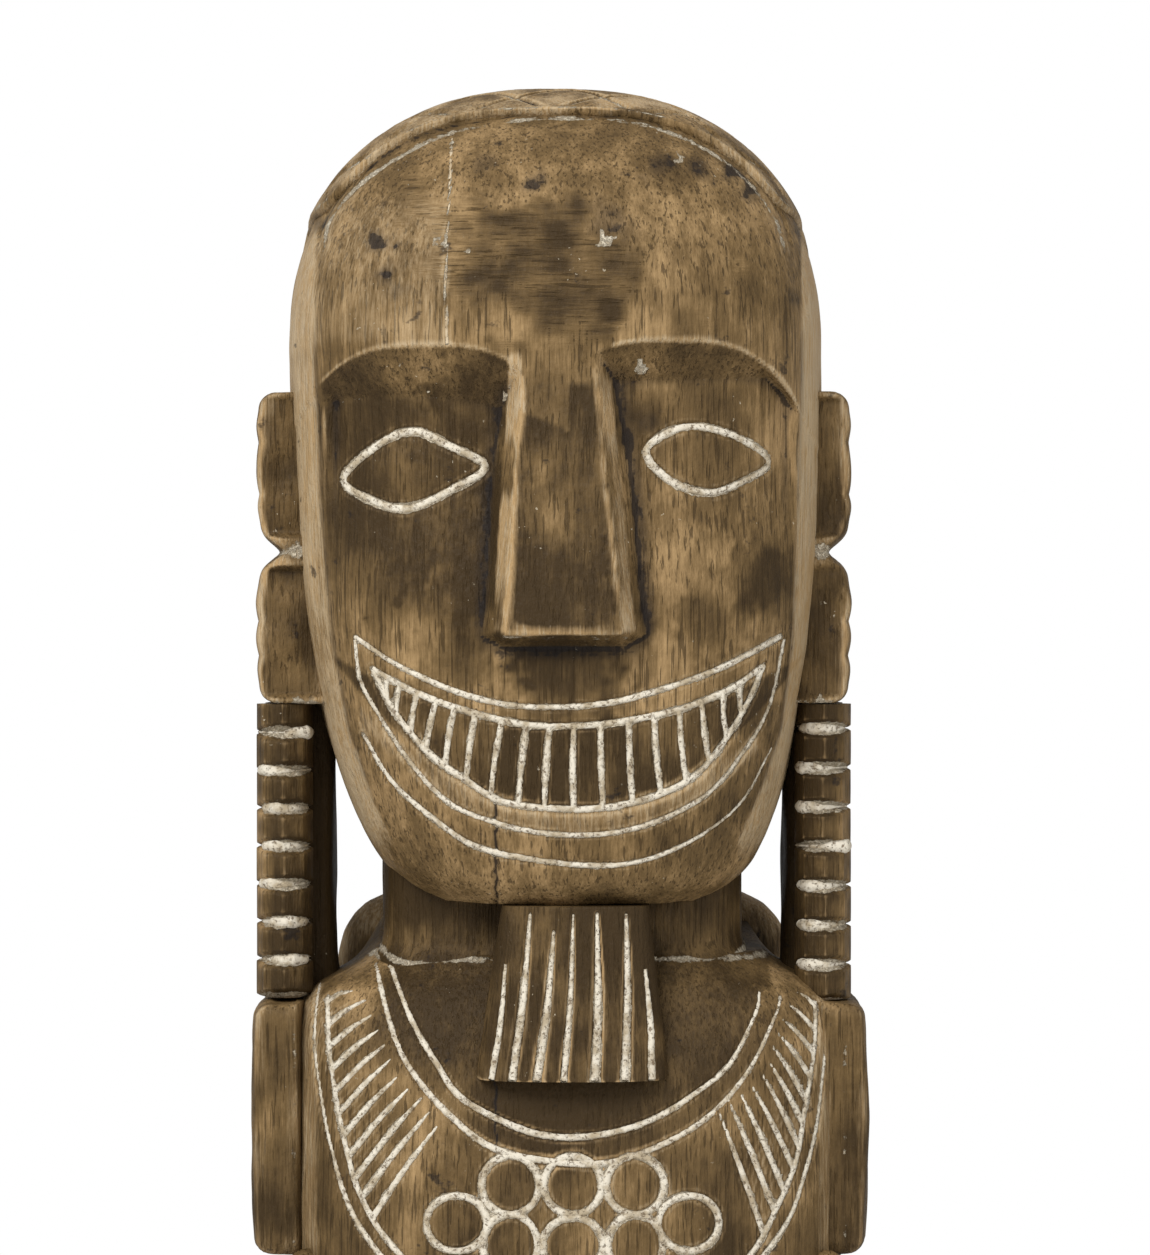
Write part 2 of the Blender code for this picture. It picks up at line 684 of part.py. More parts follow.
def build_neck(head_clearance, torso_clearance):
    """Make the neck, a column with its front corners cut off."""
    rings = [[(x, y, z) for x, y in NECK_OUTLINE] for z in (NECK_FOOT, NECK_TOP)]
    neck = add_object("neck", loft("neck", rings, smooth=False), WOOD)
    boolean(neck, torso_clearance, "DIFFERENCE")
    boolean(neck, head_clearance, "DIFFERENCE")


def hump_mesh(grow=0.0):
    """Return the hump of the upper back."""
    hump = Column(HUMP_SECTIONS, exponent=2.4)
    rings = [hump.ring(row[0], grow, segments=24) for row in HUMP_SECTIONS]
    return loft("hump", [[(x, y + HUMP_CENTRE_Y, z + grow) for x, y, z in ring] for ring in rings])


def build_beard(torso_clearance):
    """Make the beard, a flat trapezoid under the chin, with seven strokes that widen downward."""
    rings = []
    for z, right, left in BEARD_EDGES:
        row = spaced(right, left, 7)
        front = [(x, beard_front(x, z), z) for x in row]
        rings.append(front + [(left, BEARD_BACK, z), (right, BEARD_BACK, z)])
    beard = add_object("beard", loft("beard", rings, smooth=False), WOOD)
    boolean(beard, torso_clearance, "DIFFERENCE")
    cutters = []
    for i in range(BEARD_STROKES):
        share = i / (BEARD_STROKES - 1) * 2.0 - 1.0
        start_z = BEARD_EDGES[0][0] - 0.004 - 0.020 * abs(share) ** 4
        start = (STROKE_STARTS[0] + STROKE_STARTS[1] * share, start_z)
        end = (STROKE_ENDS[0] + STROKE_ENDS[1] * share, BEARD_EDGES[1][0] + 0.0015)
        stroke = CarvedLine(beard_front, smooth_path([start, end], 4), taper=(0.45, 1.0))
        cutters += fill(f"beard_lime_{i + 1}", [stroke])
    boolean_all(beard, cutters, "DIFFERENCE")


def fringe(side):
    """Make the crescent on one side of the collar and the strokes on it, and return their cutters."""
    lines = [CarvedLine(TORSO.front, smooth_path(CRESCENTS[side], 4), width=0.7)]
    outer_path = smooth_path(CRESCENTS[side], 12)
    inner_path = smooth_path(FRINGE_ENDS[side], 12)
    for i in range(FRINGE_STROKES):
        share = (i + 0.6) / FRINGE_STROKES
        a = outer_path[round(share * (len(outer_path) - 1))]
        b = inner_path[round(share * (len(inner_path) - 1))]
        stroke = smooth_path([a, b], 3)
        lines.append(CarvedLine(TORSO.front, stroke, width=0.75, taper=(0.9, 0.45), deeper=-0.0002))
    return fill(f"{side}_collar_fringe", lines)


def ring_centres():
    """Return the centres of the breast rings, in rows that narrow downward."""
    centres = []
    for row, count in enumerate(RING_ROWS):
        z = RING_TOP_ROW - RING_ROW_PITCH * row
        for i in range(count):
            offset = i - (count - 1) / 2
            is_outer = abs(offset) > 1.5
            squeeze = OUTER_RING_SQUEEZE if is_outer else 1.0
            lift = OUTER_RING_LIFT if is_outer else 0.0
            centres.append((RING_MIDDLE[row] + RING_PITCH * offset * squeeze, z + lift))
    return centres


def build_torso():
    """Make the torso with its necklace, collar and breast rings, and their lime."""
    torso = add_object("torso", TORSO.mesh("torso", TORSO_LEVELS), WOOD, 0.5)
    boolean(torso, add_cutter("join_hump", hump_mesh()), "UNION")
    cutters = []
    for name, points in (("inner", NECKLACE_INNER), ("outer", NECKLACE_OUTER)):
        line = CarvedLine(TORSO.front, smooth_path(points, 3), width=0.8, taper=(0.7, 0.7))
        cutters += fill(f"necklace_{name}_line", [line])
    for side in SIDES:
        edge = CarvedLine(TORSO.front, smooth_path(COLLAR_EDGES[side], 3), width=0.7)
        cutters += fill(f"{side}_collar_edge_line", [edge])
        cutters += fringe(side)
    rings = []
    for i, (x, z) in enumerate(ring_centres()):
        path = circle_path(x, z, RING_RADIUS, 12)
        rings.append(CarvedLine(TORSO.front, path, closed=True, width=0.85, deeper=0.00015 * (i % 3)))
    cutters += fill("breast_rings", rings)
    boolean_all(torso, cutters, "DIFFERENCE")


def build_arm(side, torso_clearance):
    """Make an arm: the upper arm at the log's side, the forearm and the hand laid on the belly."""
    sign, reach = SIDES[side], ARM_REACH[side]
    inner = reach - ARM_THICKNESS
    outline = [
        (inner, 0.6235),
        (reach - 0.004, 0.6235),
        (reach, 0.6150),
        (reach, 0.5300),
        (reach - 0.008, 0.5215),
        (inner, 0.5000),
    ]
    upper = extrude_outline("arm", [(sign * x, z) for x, z in outline], ARM_FRONT, ARM_BACK)
    arm = add_object(f"{side}_arm", upper, WOOD)
    path = smooth_path([(BODY_MIDDLE + sign * x, z) for x, z in FOREARM_ROUTE], 3)
    forearm = CarvedLine(TORSO.front, path).sweep("forearm", lambda half_width: FOREARM_SECTION)
    boolean(arm, add_cutter(f"join_{side}_forearm", forearm), "UNION")
    boolean(arm, torso_clearance, "DIFFERENCE")


def build_lower_body():
    """Make the loincloth, the legs, the feet and the round base."""
    add_object("loincloth", LOIN.mesh("loincloth", spaced(0.3303, 0.3997, 5), segments=32), WOOD)
    legs = Column(LEG_SECTIONS, exponent=2.8)
    for side, sign in SIDES.items():
        leg = legs.mesh("leg", [row[0] for row in LEG_SECTIONS], segments=20)
        for vertex in leg.vertices:
            vertex.co.x *= sign
        if sign < 0:
            leg.flip_normals()
        add_object(f"{side}_leg", leg, WOOD)
        rings = []
        for z, inner, outer, front, back in FOOT_SECTIONS:
            corners = [(inner, back), (outer - 0.006, back), (outer, back - 0.010)]
            corners += [(outer, front + 0.022), (outer - 0.016, front), (inner, front)]
            rings.append([(sign * x, y, z) for x, y in corners])
        add_object(f"{side}_foot", loft("foot", rings, smooth=False), WOOD_WORN)
    ring = [(LOG_RADIUS * math.cos(t), LOG_RADIUS * math.sin(t)) for t in spaced(0, math.tau, 65)[:-1]]
    base = loft("base", [[(x, y, z) for x, y in ring] for z in (0.0, BASE_HEIGHT)])
    add_object("base", base, WOOD_DARK, 0.6)


def main():
    """Build the whole figure."""
    clear_scene()
    head_clearance = add_cutter("cut_clear_of_head", HEAD.mesh("head_clearance", HEAD_LEVELS, grow=GAP))
    torso_clearance = add_cutter("cut_clear_of_torso", TORSO.mesh("torso_clearance", TORSO_LEVELS, grow=GAP))
    boolean(torso_clearance, add_cutter("join_hump_clearance", hump_mesh(grow=GAP)), "UNION")
    build_head()
    build_cap()
    build_neck(head_clearance, torso_clearance)
    build_beard(torso_clearance)
    build_torso()
    for side in SIDES:
        build_ear(side, head_clearance)
        build_pendant(side, head_clearance, torso_clearance)
        build_arm(side, torso_clearance)
    build_lower_body()


if __name__ == "__main__":
    main()
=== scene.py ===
"""Looks of the carved ancestor figure: chiselled, stained and worn wood with dried lime in its cuts.

The figure stands on z = 0 and faces -Y, so its own left is at +X. Lengths are in metres. Each volume
of the log is a fine skin: a grid of points laid round a column or along a path, pushed into relief,
cut with V-lines and given masks for wear, staining, grime, painted shade and lime, which the finishes read.
"""

import logging
import math
from dataclasses import dataclass, field
from enum import Enum
from typing import Callable

import bpy
import numpy as np
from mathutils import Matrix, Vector, kdtree


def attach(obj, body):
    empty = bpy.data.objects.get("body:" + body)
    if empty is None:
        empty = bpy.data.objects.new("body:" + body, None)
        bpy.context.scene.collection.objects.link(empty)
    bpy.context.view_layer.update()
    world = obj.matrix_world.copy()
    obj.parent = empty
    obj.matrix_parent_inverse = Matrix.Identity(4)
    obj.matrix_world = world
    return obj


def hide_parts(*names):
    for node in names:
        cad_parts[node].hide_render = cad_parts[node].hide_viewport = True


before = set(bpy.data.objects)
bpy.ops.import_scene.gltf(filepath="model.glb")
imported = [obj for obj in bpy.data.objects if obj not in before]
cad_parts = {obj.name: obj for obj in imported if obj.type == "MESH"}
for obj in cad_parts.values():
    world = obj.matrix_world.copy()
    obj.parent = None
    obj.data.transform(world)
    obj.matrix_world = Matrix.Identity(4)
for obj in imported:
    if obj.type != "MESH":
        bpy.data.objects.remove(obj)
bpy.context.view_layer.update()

LOG = logging.getLogger("ancestor_figure")
ROOT = "root"
PATH_STEP = 0.0008
SIGNS = {"left": 1.0, "right": -1.0}

FLOAT = "NodeSocketFloat"
INTEGER = "NodeSocketInt"
VECTOR = "NodeSocketVector"
MATERIAL = "NodeSocketMaterial"
MASKS = ("worn", "dirt_and_shade", "lime", "stain_and_shade", "curl")
DOME_LIFT = 0.497 * math.pi
LINE_DEPTH = 0.0026
GRID_STEP = 0.0004

Array = np.ndarray
Surface = Callable[[Array, Array], Array]
Colour = tuple[float, float, float, float]
Point = tuple[float, float]
Rows = tuple[tuple[float, ...], ...]
Socket = bpy.types.NodeSocket
Inputs = list[tuple[str, str, object]]
GrowTree = tuple[bpy.types.NodeTree, dict[str, str]]


class Slot(Enum):
    """The record's finishes."""

    STAINED = "stained_wood"
    WORN = "worn_wood"
    DARK = "dark_wood"
    LIME = "lime"
    PUTTY = "putty"


# ---- Numbers that vary smoothly ----


def ease(value: Array, start: float, end: float) -> Array:
    """Ease from 0 at start to 1 at end."""
    t = np.clip((value - start) / (end - start), 0.0, 1.0)
    return t * t * (3.0 - 2.0 * t)


def bell(value: Array, width: float) -> Array:
    """Return 1 where a value is 0, falling smoothly to 0 on both sides over about two widths."""
    return np.exp(-((value / width) ** 2))


def curve_between(a: Array, b: Array, slope_a: Array, slope_b: Array, t: Array) -> Array:
    """Return the cubic curve from a to b at each share t, with the given slopes at its ends."""
    from_a = (2 * t**3 - 3 * t**2 + 1) * a + (t**3 - 2 * t**2 + t) * slope_a
    return from_a + (3 * t**2 - 2 * t**3) * b + (t**3 - t**2) * slope_b


def rounding(from_end: Array, corner: float) -> Array:
    """Return how far a rounded corner draws in, by the distance from the piece's end."""
    return corner - np.sqrt(np.maximum(0.0, corner**2 - np.maximum(0.0, corner - from_end) ** 2))


def soft_min(a: Array, b: Array, radius: float) -> Array:
    """Return the lower of two values, with a rounded corner where they cross."""
    h = np.clip(0.5 + 0.5 * (b - a) / radius, 0.0, 1.0)
    return b + (a - b) * h - radius * h * (1.0 - h)


def lattice(cell: Array, seed: int) -> Array:
    """Return a fixed pseudo-random value from -1 to 1 for each whole-number cell."""
    mix = cell[..., 0] * 374761393 + cell[..., 1] * 668265263 + cell[..., 2] * 2246822519 + seed * 3266489917
    mix = (mix ^ (mix >> 13)) * 1274126177 & 0xFFFFFFFF
    return ((mix ^ (mix >> 16)) & 0xFFFF) / 32767.5 - 1.0


def noise(points: Array, size: float | tuple[float, float, float], seed: int) -> Array:
    """Return smooth noise from -1 to 1 whose lumps have the given size along X, Y and Z."""
    at = points / np.asarray(size)
    cell = np.floor(at).astype(np.int64)
    part = at - cell
    part = part * part * (3.0 - 2.0 * part)
    total = np.zeros(points.shape[:-1])
    for corner in np.ndindex(2, 2, 2):
        weight = np.prod(np.where(np.asarray(corner) == 1, part, 1.0 - part), axis=-1)
        total += weight * lattice(cell + np.asarray(corner), seed)
    return total


def smooth_path(points: list[Point], closed: bool = False) -> Array:
    """Return a smooth curve through the points, with a point every PATH_STEP.

    Args:
        points: The (x, z) points that the curve passes.
        closed: Whether the curve returns to its first point.

    Returns:
        An array of (x, z) rows.
    """
    knots = np.asarray(points, float)
    if closed:
        ends = np.vstack([knots[-1:], knots, knots[:2]])
    else:
        ends = np.vstack([2 * knots[:1] - knots[1:2], knots, 2 * knots[-1:] - knots[-2:-1]])
    runs = []
    t = np.linspace(0.0, 1.0, 40, endpoint=False)[:, None]
    for before, a, b, after in zip(ends, ends[1:], ends[2:], ends[3:]):
        slope_a, slope_b = (b - before) / 2, (after - a) / 2
        runs.append(curve_between(a, b, slope_a, slope_b, t))
    runs.append(knots[:1] if closed else knots[-1:])
    return even(np.vstack(runs))


def even(path: Array) -> Array:
    """Return the path with its points spaced evenly, PATH_STEP apart."""
    length = np.concatenate([[0.0], np.cumsum(np.linalg.norm(np.diff(path, axis=0), axis=1))])
    count = max(3, int(length[-1] / PATH_STEP) + 1)
    at = np.linspace(0.0, length[-1], count)
    return np.stack([np.interp(at, length, path[:, k]) for k in range(path.shape[1])], axis=1)


# ---- Columns, cuts and skins ----


@dataclass(frozen=True)
class Column:
    """A tall rounded volume of the log.

    Each section is (z, centre in X, half-width, depth to the front, depth to the back).
    """

    sections: Rows
    exponent: float = 3.0
    centre_y: float = 0.0

    def at(self, z: Array) -> Array:
        """Return centre, half-width, front and back depth at each height, as the last axis."""
        rows = np.asarray(self.sections, float)
        z = np.clip(z, rows[0, 0], rows[-1, 0])
        k = np.clip(np.searchsorted(rows[:, 0], z, side="right") - 1, 0, len(rows) - 2)
        a, b = rows[k], rows[k + 1]
        before, after = rows[np.maximum(k - 1, 0)], rows[np.minimum(k + 2, len(rows) - 1)]
        span = b[..., 0] - a[..., 0]
        t = ((z - a[..., 0]) / span)[..., None]
        slope_a = (b - before) / (b[..., 0] - before[..., 0])[..., None] * span[..., None]
        slope_b = (after - a) / (after[..., 0] - a[..., 0])[..., None] * span[..., None]
        return curve_between(a, b, slope_a, slope_b, t)[..., 1:]

    def front(self, x: Array, z: Array) -> Array:
        """Return y on the front surface."""
        centre, half_width, depth, _ = np.moveaxis(self.at(z), -1, 0)
        across = np.minimum(0.9995, np.abs(x - centre) / half_width)
        return self.centre_y - depth * (1.0 - across**self.exponent) ** (1.0 / self.exponent)

    def skin(self, levels: Array, turns: Array) -> "Skin":
        """Return the volume's skin: a ring of points at each level.

        Args:
            levels: The heights of the rings.
            turns: The directions of a ring's points, anticlockwise from +X.
        """
        z, turn = np.meshgrid(levels, turns, indexing="ij")
        centre, half_width, front, back = np.moveaxis(self.at(z), -1, 0)
        depth = np.where(np.sin(turn) > 0, back, front)
        across = np.abs(np.cos(turn) / half_width) ** self.exponent
        along = np.abs(np.sin(turn) / depth) ** self.exponent
        reach = (across + along) ** (-1.0 / self.exponent)
        return Skin(
            np.stack([centre + reach * np.cos(turn), self.centre_y + reach * np.sin(turn), z], axis=-1)
        )


@dataclass(frozen=True)
class Cut:
    """A V-line cut into a surface: places and outward directions along it, and its size there."""

    places: Array
    outward: Array
    half_width: Array
    depth: float
    lime: float = 1.0

    @classmethod
    def on(
        cls,
        surface: Surface,
        path: Array,
        half_width: float,
        depth: float = LINE_DEPTH,
        ends: tuple[float, float] = (1.0, 1.0),
        swell: float = 0.0,
        lime: float = 1.0,
    ) -> "Cut":
        """Lay a cut on a front surface.

        Args:
            surface: Gives y for x and z.
            path: The (x, z) points of the line.
            half_width: Half the line's width, before it tapers.
            depth: How deep the V goes.
            ends: The width at the first and the last point, as shares of half_width.
            swell: How much the middle is wider than the ends, as a share.
            lime: How much lime clings in and round it.
        """
        x, z = path[:, 0], path[:, 1]
        slope_x = (surface(x + GRID_STEP, z) - surface(x - GRID_STEP, z)) / (2 * GRID_STEP)
        slope_z = (surface(x, z + GRID_STEP) - surface(x, z - GRID_STEP)) / (2 * GRID_STEP)
        outward = np.stack([slope_x, -np.ones_like(x), slope_z], axis=1)
        outward /= np.linalg.norm(outward, axis=1, keepdims=True)
        share = np.linspace(0.0, 1.0, len(x))
        width = half_width * (ends[0] + (ends[1] - ends[0]) * share + swell * np.sin(np.pi * share))
        return cls(np.stack([x, surface(x, z), z], axis=1), outward, width, depth, lime)


@dataclass
class Skin:
    """A closed surface as a grid of points: rows from the bottom up, columns round and back."""

    points: Array
    masks: dict[str, Array] = field(default_factory=dict)

    def normals(self) -> Array:
        """Return the outward direction at each point."""
        round_it = np.roll(self.points, -1, axis=1) - np.roll(self.points, 1, axis=1)
        up = np.gradient(self.points, axis=0)
        normal = np.cross(round_it, up)
        return normal / np.maximum(np.linalg.norm(normal, axis=-1, keepdims=True), 1e-12)

    def push(self, amount: Array) -> None:
        """Move each point outward."""
        self.points = self.points + self.normals() * amount[..., None]

    def chisel(self, seed: int, strength: float = 1.0) -> None:
        """Give the surface the shallow, long dents of a hand tool."""
        long_dents = noise(self.points, (0.016, 0.016, 0.034), seed)
        small_dents = noise(self.points, (0.006, 0.006, 0.012), seed + 1)
        fibres = noise(self.points, (0.0016, 0.0016, 0.020), seed + 2)
        self.push(strength * (0.00042 * long_dents + 0.00016 * small_dents + 0.00006 * fibres))

    def blurred(self, times: int) -> Array:
        """Return the points after smoothing the grid so many times."""
        p = self.points
        for _ in range(times):
            ends = np.concatenate([p[:1], p, p[-1:]])
            p = (ends[:-2] + ends[2:] + np.roll(p, 1, axis=1) + np.roll(p, -1, axis=1) + p) / 5.0
        return p

    def carve(self, cuts: list[Cut]) -> None:
        """Cut V-lines into the skin and mark where lime clings."""
        self.masks["lime"] = np.zeros(self.points.shape[:2])
        if not cuts:
            return
        places = np.vstack([cut.places for cut in cuts])
        widths = np.concatenate([cut.half_width for cut in cuts])
        depths = np.concatenate([np.full(len(cut.places), cut.depth) for cut in cuts])
        limes = np.concatenate([np.full(len(cut.places), cut.lime) for cut in cuts])
        tree = kdtree.KDTree(len(places))
        for i, place in enumerate(places):
            tree.insert(place, i)
        tree.balance()
        flat = self.points.reshape(-1, 3)
        low, high = places.min(0) - 0.008, places.max(0) + 0.008
        near = np.flatnonzero(((flat > low) & (flat < high)).all(axis=1))
        sunk, lime, lips = np.zeros(len(flat)), np.zeros(len(flat)), np.zeros(len(flat))
        for i in near:
            _, nearest, distance = tree.find(flat[i])
            share = distance / widths[nearest]
            if share < 3.0:
                sunk[i] = depths[nearest] * max(0.0, 1.0 - share) * min(1.0, widths[nearest] / 0.0016)
                lime[i] = limes[nearest] * min(1.0, max(0.0, 1.50 - share * 0.95))
                lips[i] = 0.24 * limes[nearest] * math.exp(-(((share - 1.5) / 0.45) ** 2))
        self.masks["lime"] = lime.reshape(self.points.shape[:2])
        self.add_mask("worn", lips.reshape(self.points.shape[:2]))
        self.push(-sunk.reshape(self.points.shape[:2]))

    def add_mask(self, name: str, values: Array) -> None:
        """Add to a mask, kept from 0 to 1."""
        old = self.masks.get(name, np.zeros(self.points.shape[:2]))
        self.masks[name] = np.clip(old + values, 0.0, 1.0)

    def bend(self, times: int) -> Array:
        """Return how much the surface bulges (or, below 0, hollows) at the scale of so many smoothings."""
        across = np.linalg.norm(np.roll(self.points, -1, axis=1) - self.points, axis=-1)
        up = np.linalg.norm(np.gradient(self.points, axis=0), axis=-1)
        spacing = np.clip((across + up) / 2, 0.0004, 0.0040)
        moved = ((self.points - self.blurred(times)) * self.normals()).sum(-1)
        return moved * 5.0 / (times * spacing**2)

    def weather(self, wear: float = 1.0) -> None:
        """Mark the raised edges that wear light, by a share, and darken the hollows with grime and painted
        shade.
        """
        fine = self.bend(4)
        broad = self.bend(36)
        broad = broad - np.median(broad)
        rubbed = 0.60 * ease(fine, 180.0, 900.0) + 0.45 * ease(broad, 45.0, 200.0)
        uneven = 0.75 + 0.7 * noise(self.points, (0.011, 0.011, 0.020), 3)
        self.add_mask("worn", wear * rubbed * np.clip(uneven, 0.1, 1.2))
        # Painted shade: the hollows, small and broad, are darkened in the dirt mask, as grime and as the
        # shade that falls in them.
        self.add_mask("dirt_and_shade", 0.62 * ease(-fine, 160.0, 800.0) + 0.66 * ease(-broad, 30.0, 150.0))

    def spot(self, mask: str, places: Rows, seed: int, core: float = 0.15) -> None:
        """Add ragged spots on the front to a mask.

        Args:
            mask: The mask.
            places: For each spot x, z, radius and strength.
            seed: The seed of its ragged outline.
            core: The share of the radius inside which a spot is at full strength.
        """
        x, y, z = np.moveaxis(self.points, -1, 0)
        ragged = 1.0 + 0.55 * noise(self.points, 0.0065, seed) + 0.35 * noise(self.points, 0.0025, seed + 1)
        for at_x, at_z, radius, strength in places:
            off = np.hypot(x - at_x, z - at_z) * ragged / radius
            self.add_mask(mask, strength * (1.0 - ease(off, core, 1.35)) * (y < 0.0))

    def mesh(self, name: str) -> bpy.types.Mesh:
        """Return the skin as a closed mesh with its masks as attributes."""
        rows, columns, _ = self.points.shape
        index = np.arange(rows * columns).reshape(rows, columns)
        beside = np.roll(index, -1, axis=1)
        quads = np.stack([index[:-1], beside[:-1], beside[1:], index[1:]], axis=-1).reshape(-1, 4)
        bottom, top = rows * columns, rows * columns + 1
        low = np.stack([beside[0], index[0], np.full(columns, bottom)], axis=-1)
        high = np.stack([index[-1], beside[-1], np.full(columns, top)], axis=-1)
        points = np.vstack([self.points.reshape(-1, 3), self.points[0].mean(0), self.points[-1].mean(0)])
        mesh = bpy.data.meshes.new(name)
        mesh.vertices.add(len(points))
        mesh.vertices.foreach_set("co", points.astype(np.float32).ravel())
        corners = np.concatenate([quads.ravel(), low.ravel(), high.ravel()])
        sizes = np.concatenate([np.full(len(quads), 4), np.full(len(low) + len(high), 3)])
        mesh.loops.add(len(corners))
        mesh.loops.foreach_set("vertex_index", corners.astype(np.int32))
        mesh.polygons.add(len(sizes))
        mesh.polygons.foreach_set("loop_start", np.concatenate([[0], np.cumsum(sizes)[:-1]]).astype(np.int32))
        mesh.polygons.foreach_set("use_smooth", np.ones(len(sizes), bool))
        mesh.update(calc_edges=True)
        for mask in MASKS:
            values = self.masks.get(mask, np.zeros((rows, columns)))
            values = np.concatenate([values.ravel(), [values[0].mean(), values[-1].mean()]])
            attribute = mesh.attributes.new(mask, "FLOAT", "POINT")
            attribute.data.foreach_set("value", values.astype(np.float32))
        return mesh


def add_piece(
    name: str, mesh: bpy.types.Mesh, material: bpy.types.Material, nodes: list[str]
) -> bpy.types.Object:
    """Put a finished piece in the scene on the figure's one body.

    Args:
        name: The piece's name.
        mesh: Its mesh, in place.
        material: Its finish.
        nodes: The solids that it replaces.

    Returns:
        The piece.
    """
    piece = bpy.data.objects.new(name, mesh)
    mesh.materials.clear()
    mesh.materials.append(material)
    bpy.context.scene.collection.objects.link(piece)
    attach(piece, ROOT)
    if nodes:
        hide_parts(*nodes)
    LOG.info("%s: %d faces", name, len(mesh.polygons))
    return piece


# ---- Node trees ----


class Tree:
    """A short way to place and link nodes in a tree."""

    def __init__(self, tree: bpy.types.NodeTree) -> None:
        """Wrap a node tree."""
        self.tree = tree

    def add(self, kind: str, **settings: object) -> bpy.types.Node:
        """Add a node and give it its settings."""
        node = self.tree.nodes.new(kind)
        for key, value in settings.items():
            setattr(node, key, value)
        return node

    def link(self, source: Socket, target: Socket) -> None:
        """Join two sockets."""
        self.tree.links.new(source, target)

    def math(self, operation: str, a: object, b: object = 0.0, clamp: bool = False) -> Socket:
        """Add a Math node on two values or sockets and return its result."""
        node = self.add("ShaderNodeMath", operation=operation, use_clamp=clamp)
        for socket, value in zip(node.inputs, (a, b)):
            self.feed(socket, value)
        return node.outputs[0]

    def plus(self, a: object, b: object, clamp: bool = False) -> Socket:
        """Add two values."""
        return self.math("ADD", a, b, clamp)

    def minus(self, a: object, b: object) -> Socket:
        """Take the second value from the first."""
        return self.math("SUBTRACT", a, b)

    def times(self, a: object, b: object) -> Socket:
        """Multiply two values."""
        return self.math("MULTIPLY", a, b)

    def feed(self, socket: Socket, value: object) -> None:
        """Give a socket a value, or link it to another socket."""
        if isinstance(value, Socket):
            self.link(value, socket)
        else:
            socket.default_value = value

    def noise(
        self, where: Socket, scale: tuple[float, float, float], detail: float = 3.0, rough: float = 0.55,
        seed: float = 0.0
    ) -> Socket:
        """Add noise that is stretched by a scale for each axis and return its value."""
        mapping = self.add("ShaderNodeMapping")
        mapping.inputs["Scale"].default_value = scale
        mapping.inputs["Location"].default_value = (seed * 3.7, seed * 1.3, seed * 2.1)
        self.link(where, mapping.inputs["Vector"])
        texture = self.add("ShaderNodeTexNoise", noise_dimensions="3D")
        texture.inputs["Scale"].default_value = 1.0
        texture.inputs["Detail"].default_value = detail
        texture.inputs["Roughness"].default_value = rough
        self.link(mapping.outputs[0], texture.inputs["Vector"])
        return texture.outputs[0]

    def ramp(self, value: Socket, low: float, high: float) -> Socket:
        """Stretch a value so that low becomes 0 and high becomes 1, with eased ends."""
        node = self.add("ShaderNodeMapRange", interpolation_type="SMOOTHSTEP")
        node.inputs["From Min"].default_value = low
        node.inputs["From Max"].default_value = high
        self.link(value, node.inputs["Value"])
        return node.outputs["Result"]

    def blend(self, share: object, a: object, b: object) -> Socket:
        """Mix two values and return the result."""
        node = self.add("ShaderNodeMix", data_type="FLOAT")
        self.feed(node.inputs[0], share)
        self.feed(node.inputs[2], a)
        self.feed(node.inputs[3], b)
        return node.outputs[0]

    def mix(self, share: object, a: object, b: object) -> Socket:
        """Mix two colours and return the result."""
        node = self.add("ShaderNodeMix", data_type="RGBA")
        self.feed(node.inputs[0], share)
        self.feed(node.inputs[6], a)
        self.feed(node.inputs[7], b)
        return node.outputs[2]


def make_group(
    name: str, inputs: Inputs, outputs: list[tuple[str, str]]
) -> tuple[Tree, bpy.types.Node, bpy.types.Node]:
    """Start a shader node group with named sockets.

    Args:
        name: The group's name.
        inputs: Name, socket type and default of each input.
        outputs: Name and socket type of each output.

    Returns:
        The tree, its input node and its output node.
    """
    group = bpy.data.node_groups.new(name, "ShaderNodeTree")
    for label, kind, default in inputs:
        group.interface.new_socket(name=label, in_out="INPUT", socket_type=kind).default_value = default
    for label, kind in outputs:
        group.interface.new_socket(name=label, in_out="OUTPUT", socket_type=kind)
    tree = Tree(group)
    return tree, tree.add("NodeGroupInput"), tree.add("NodeGroupOutput")


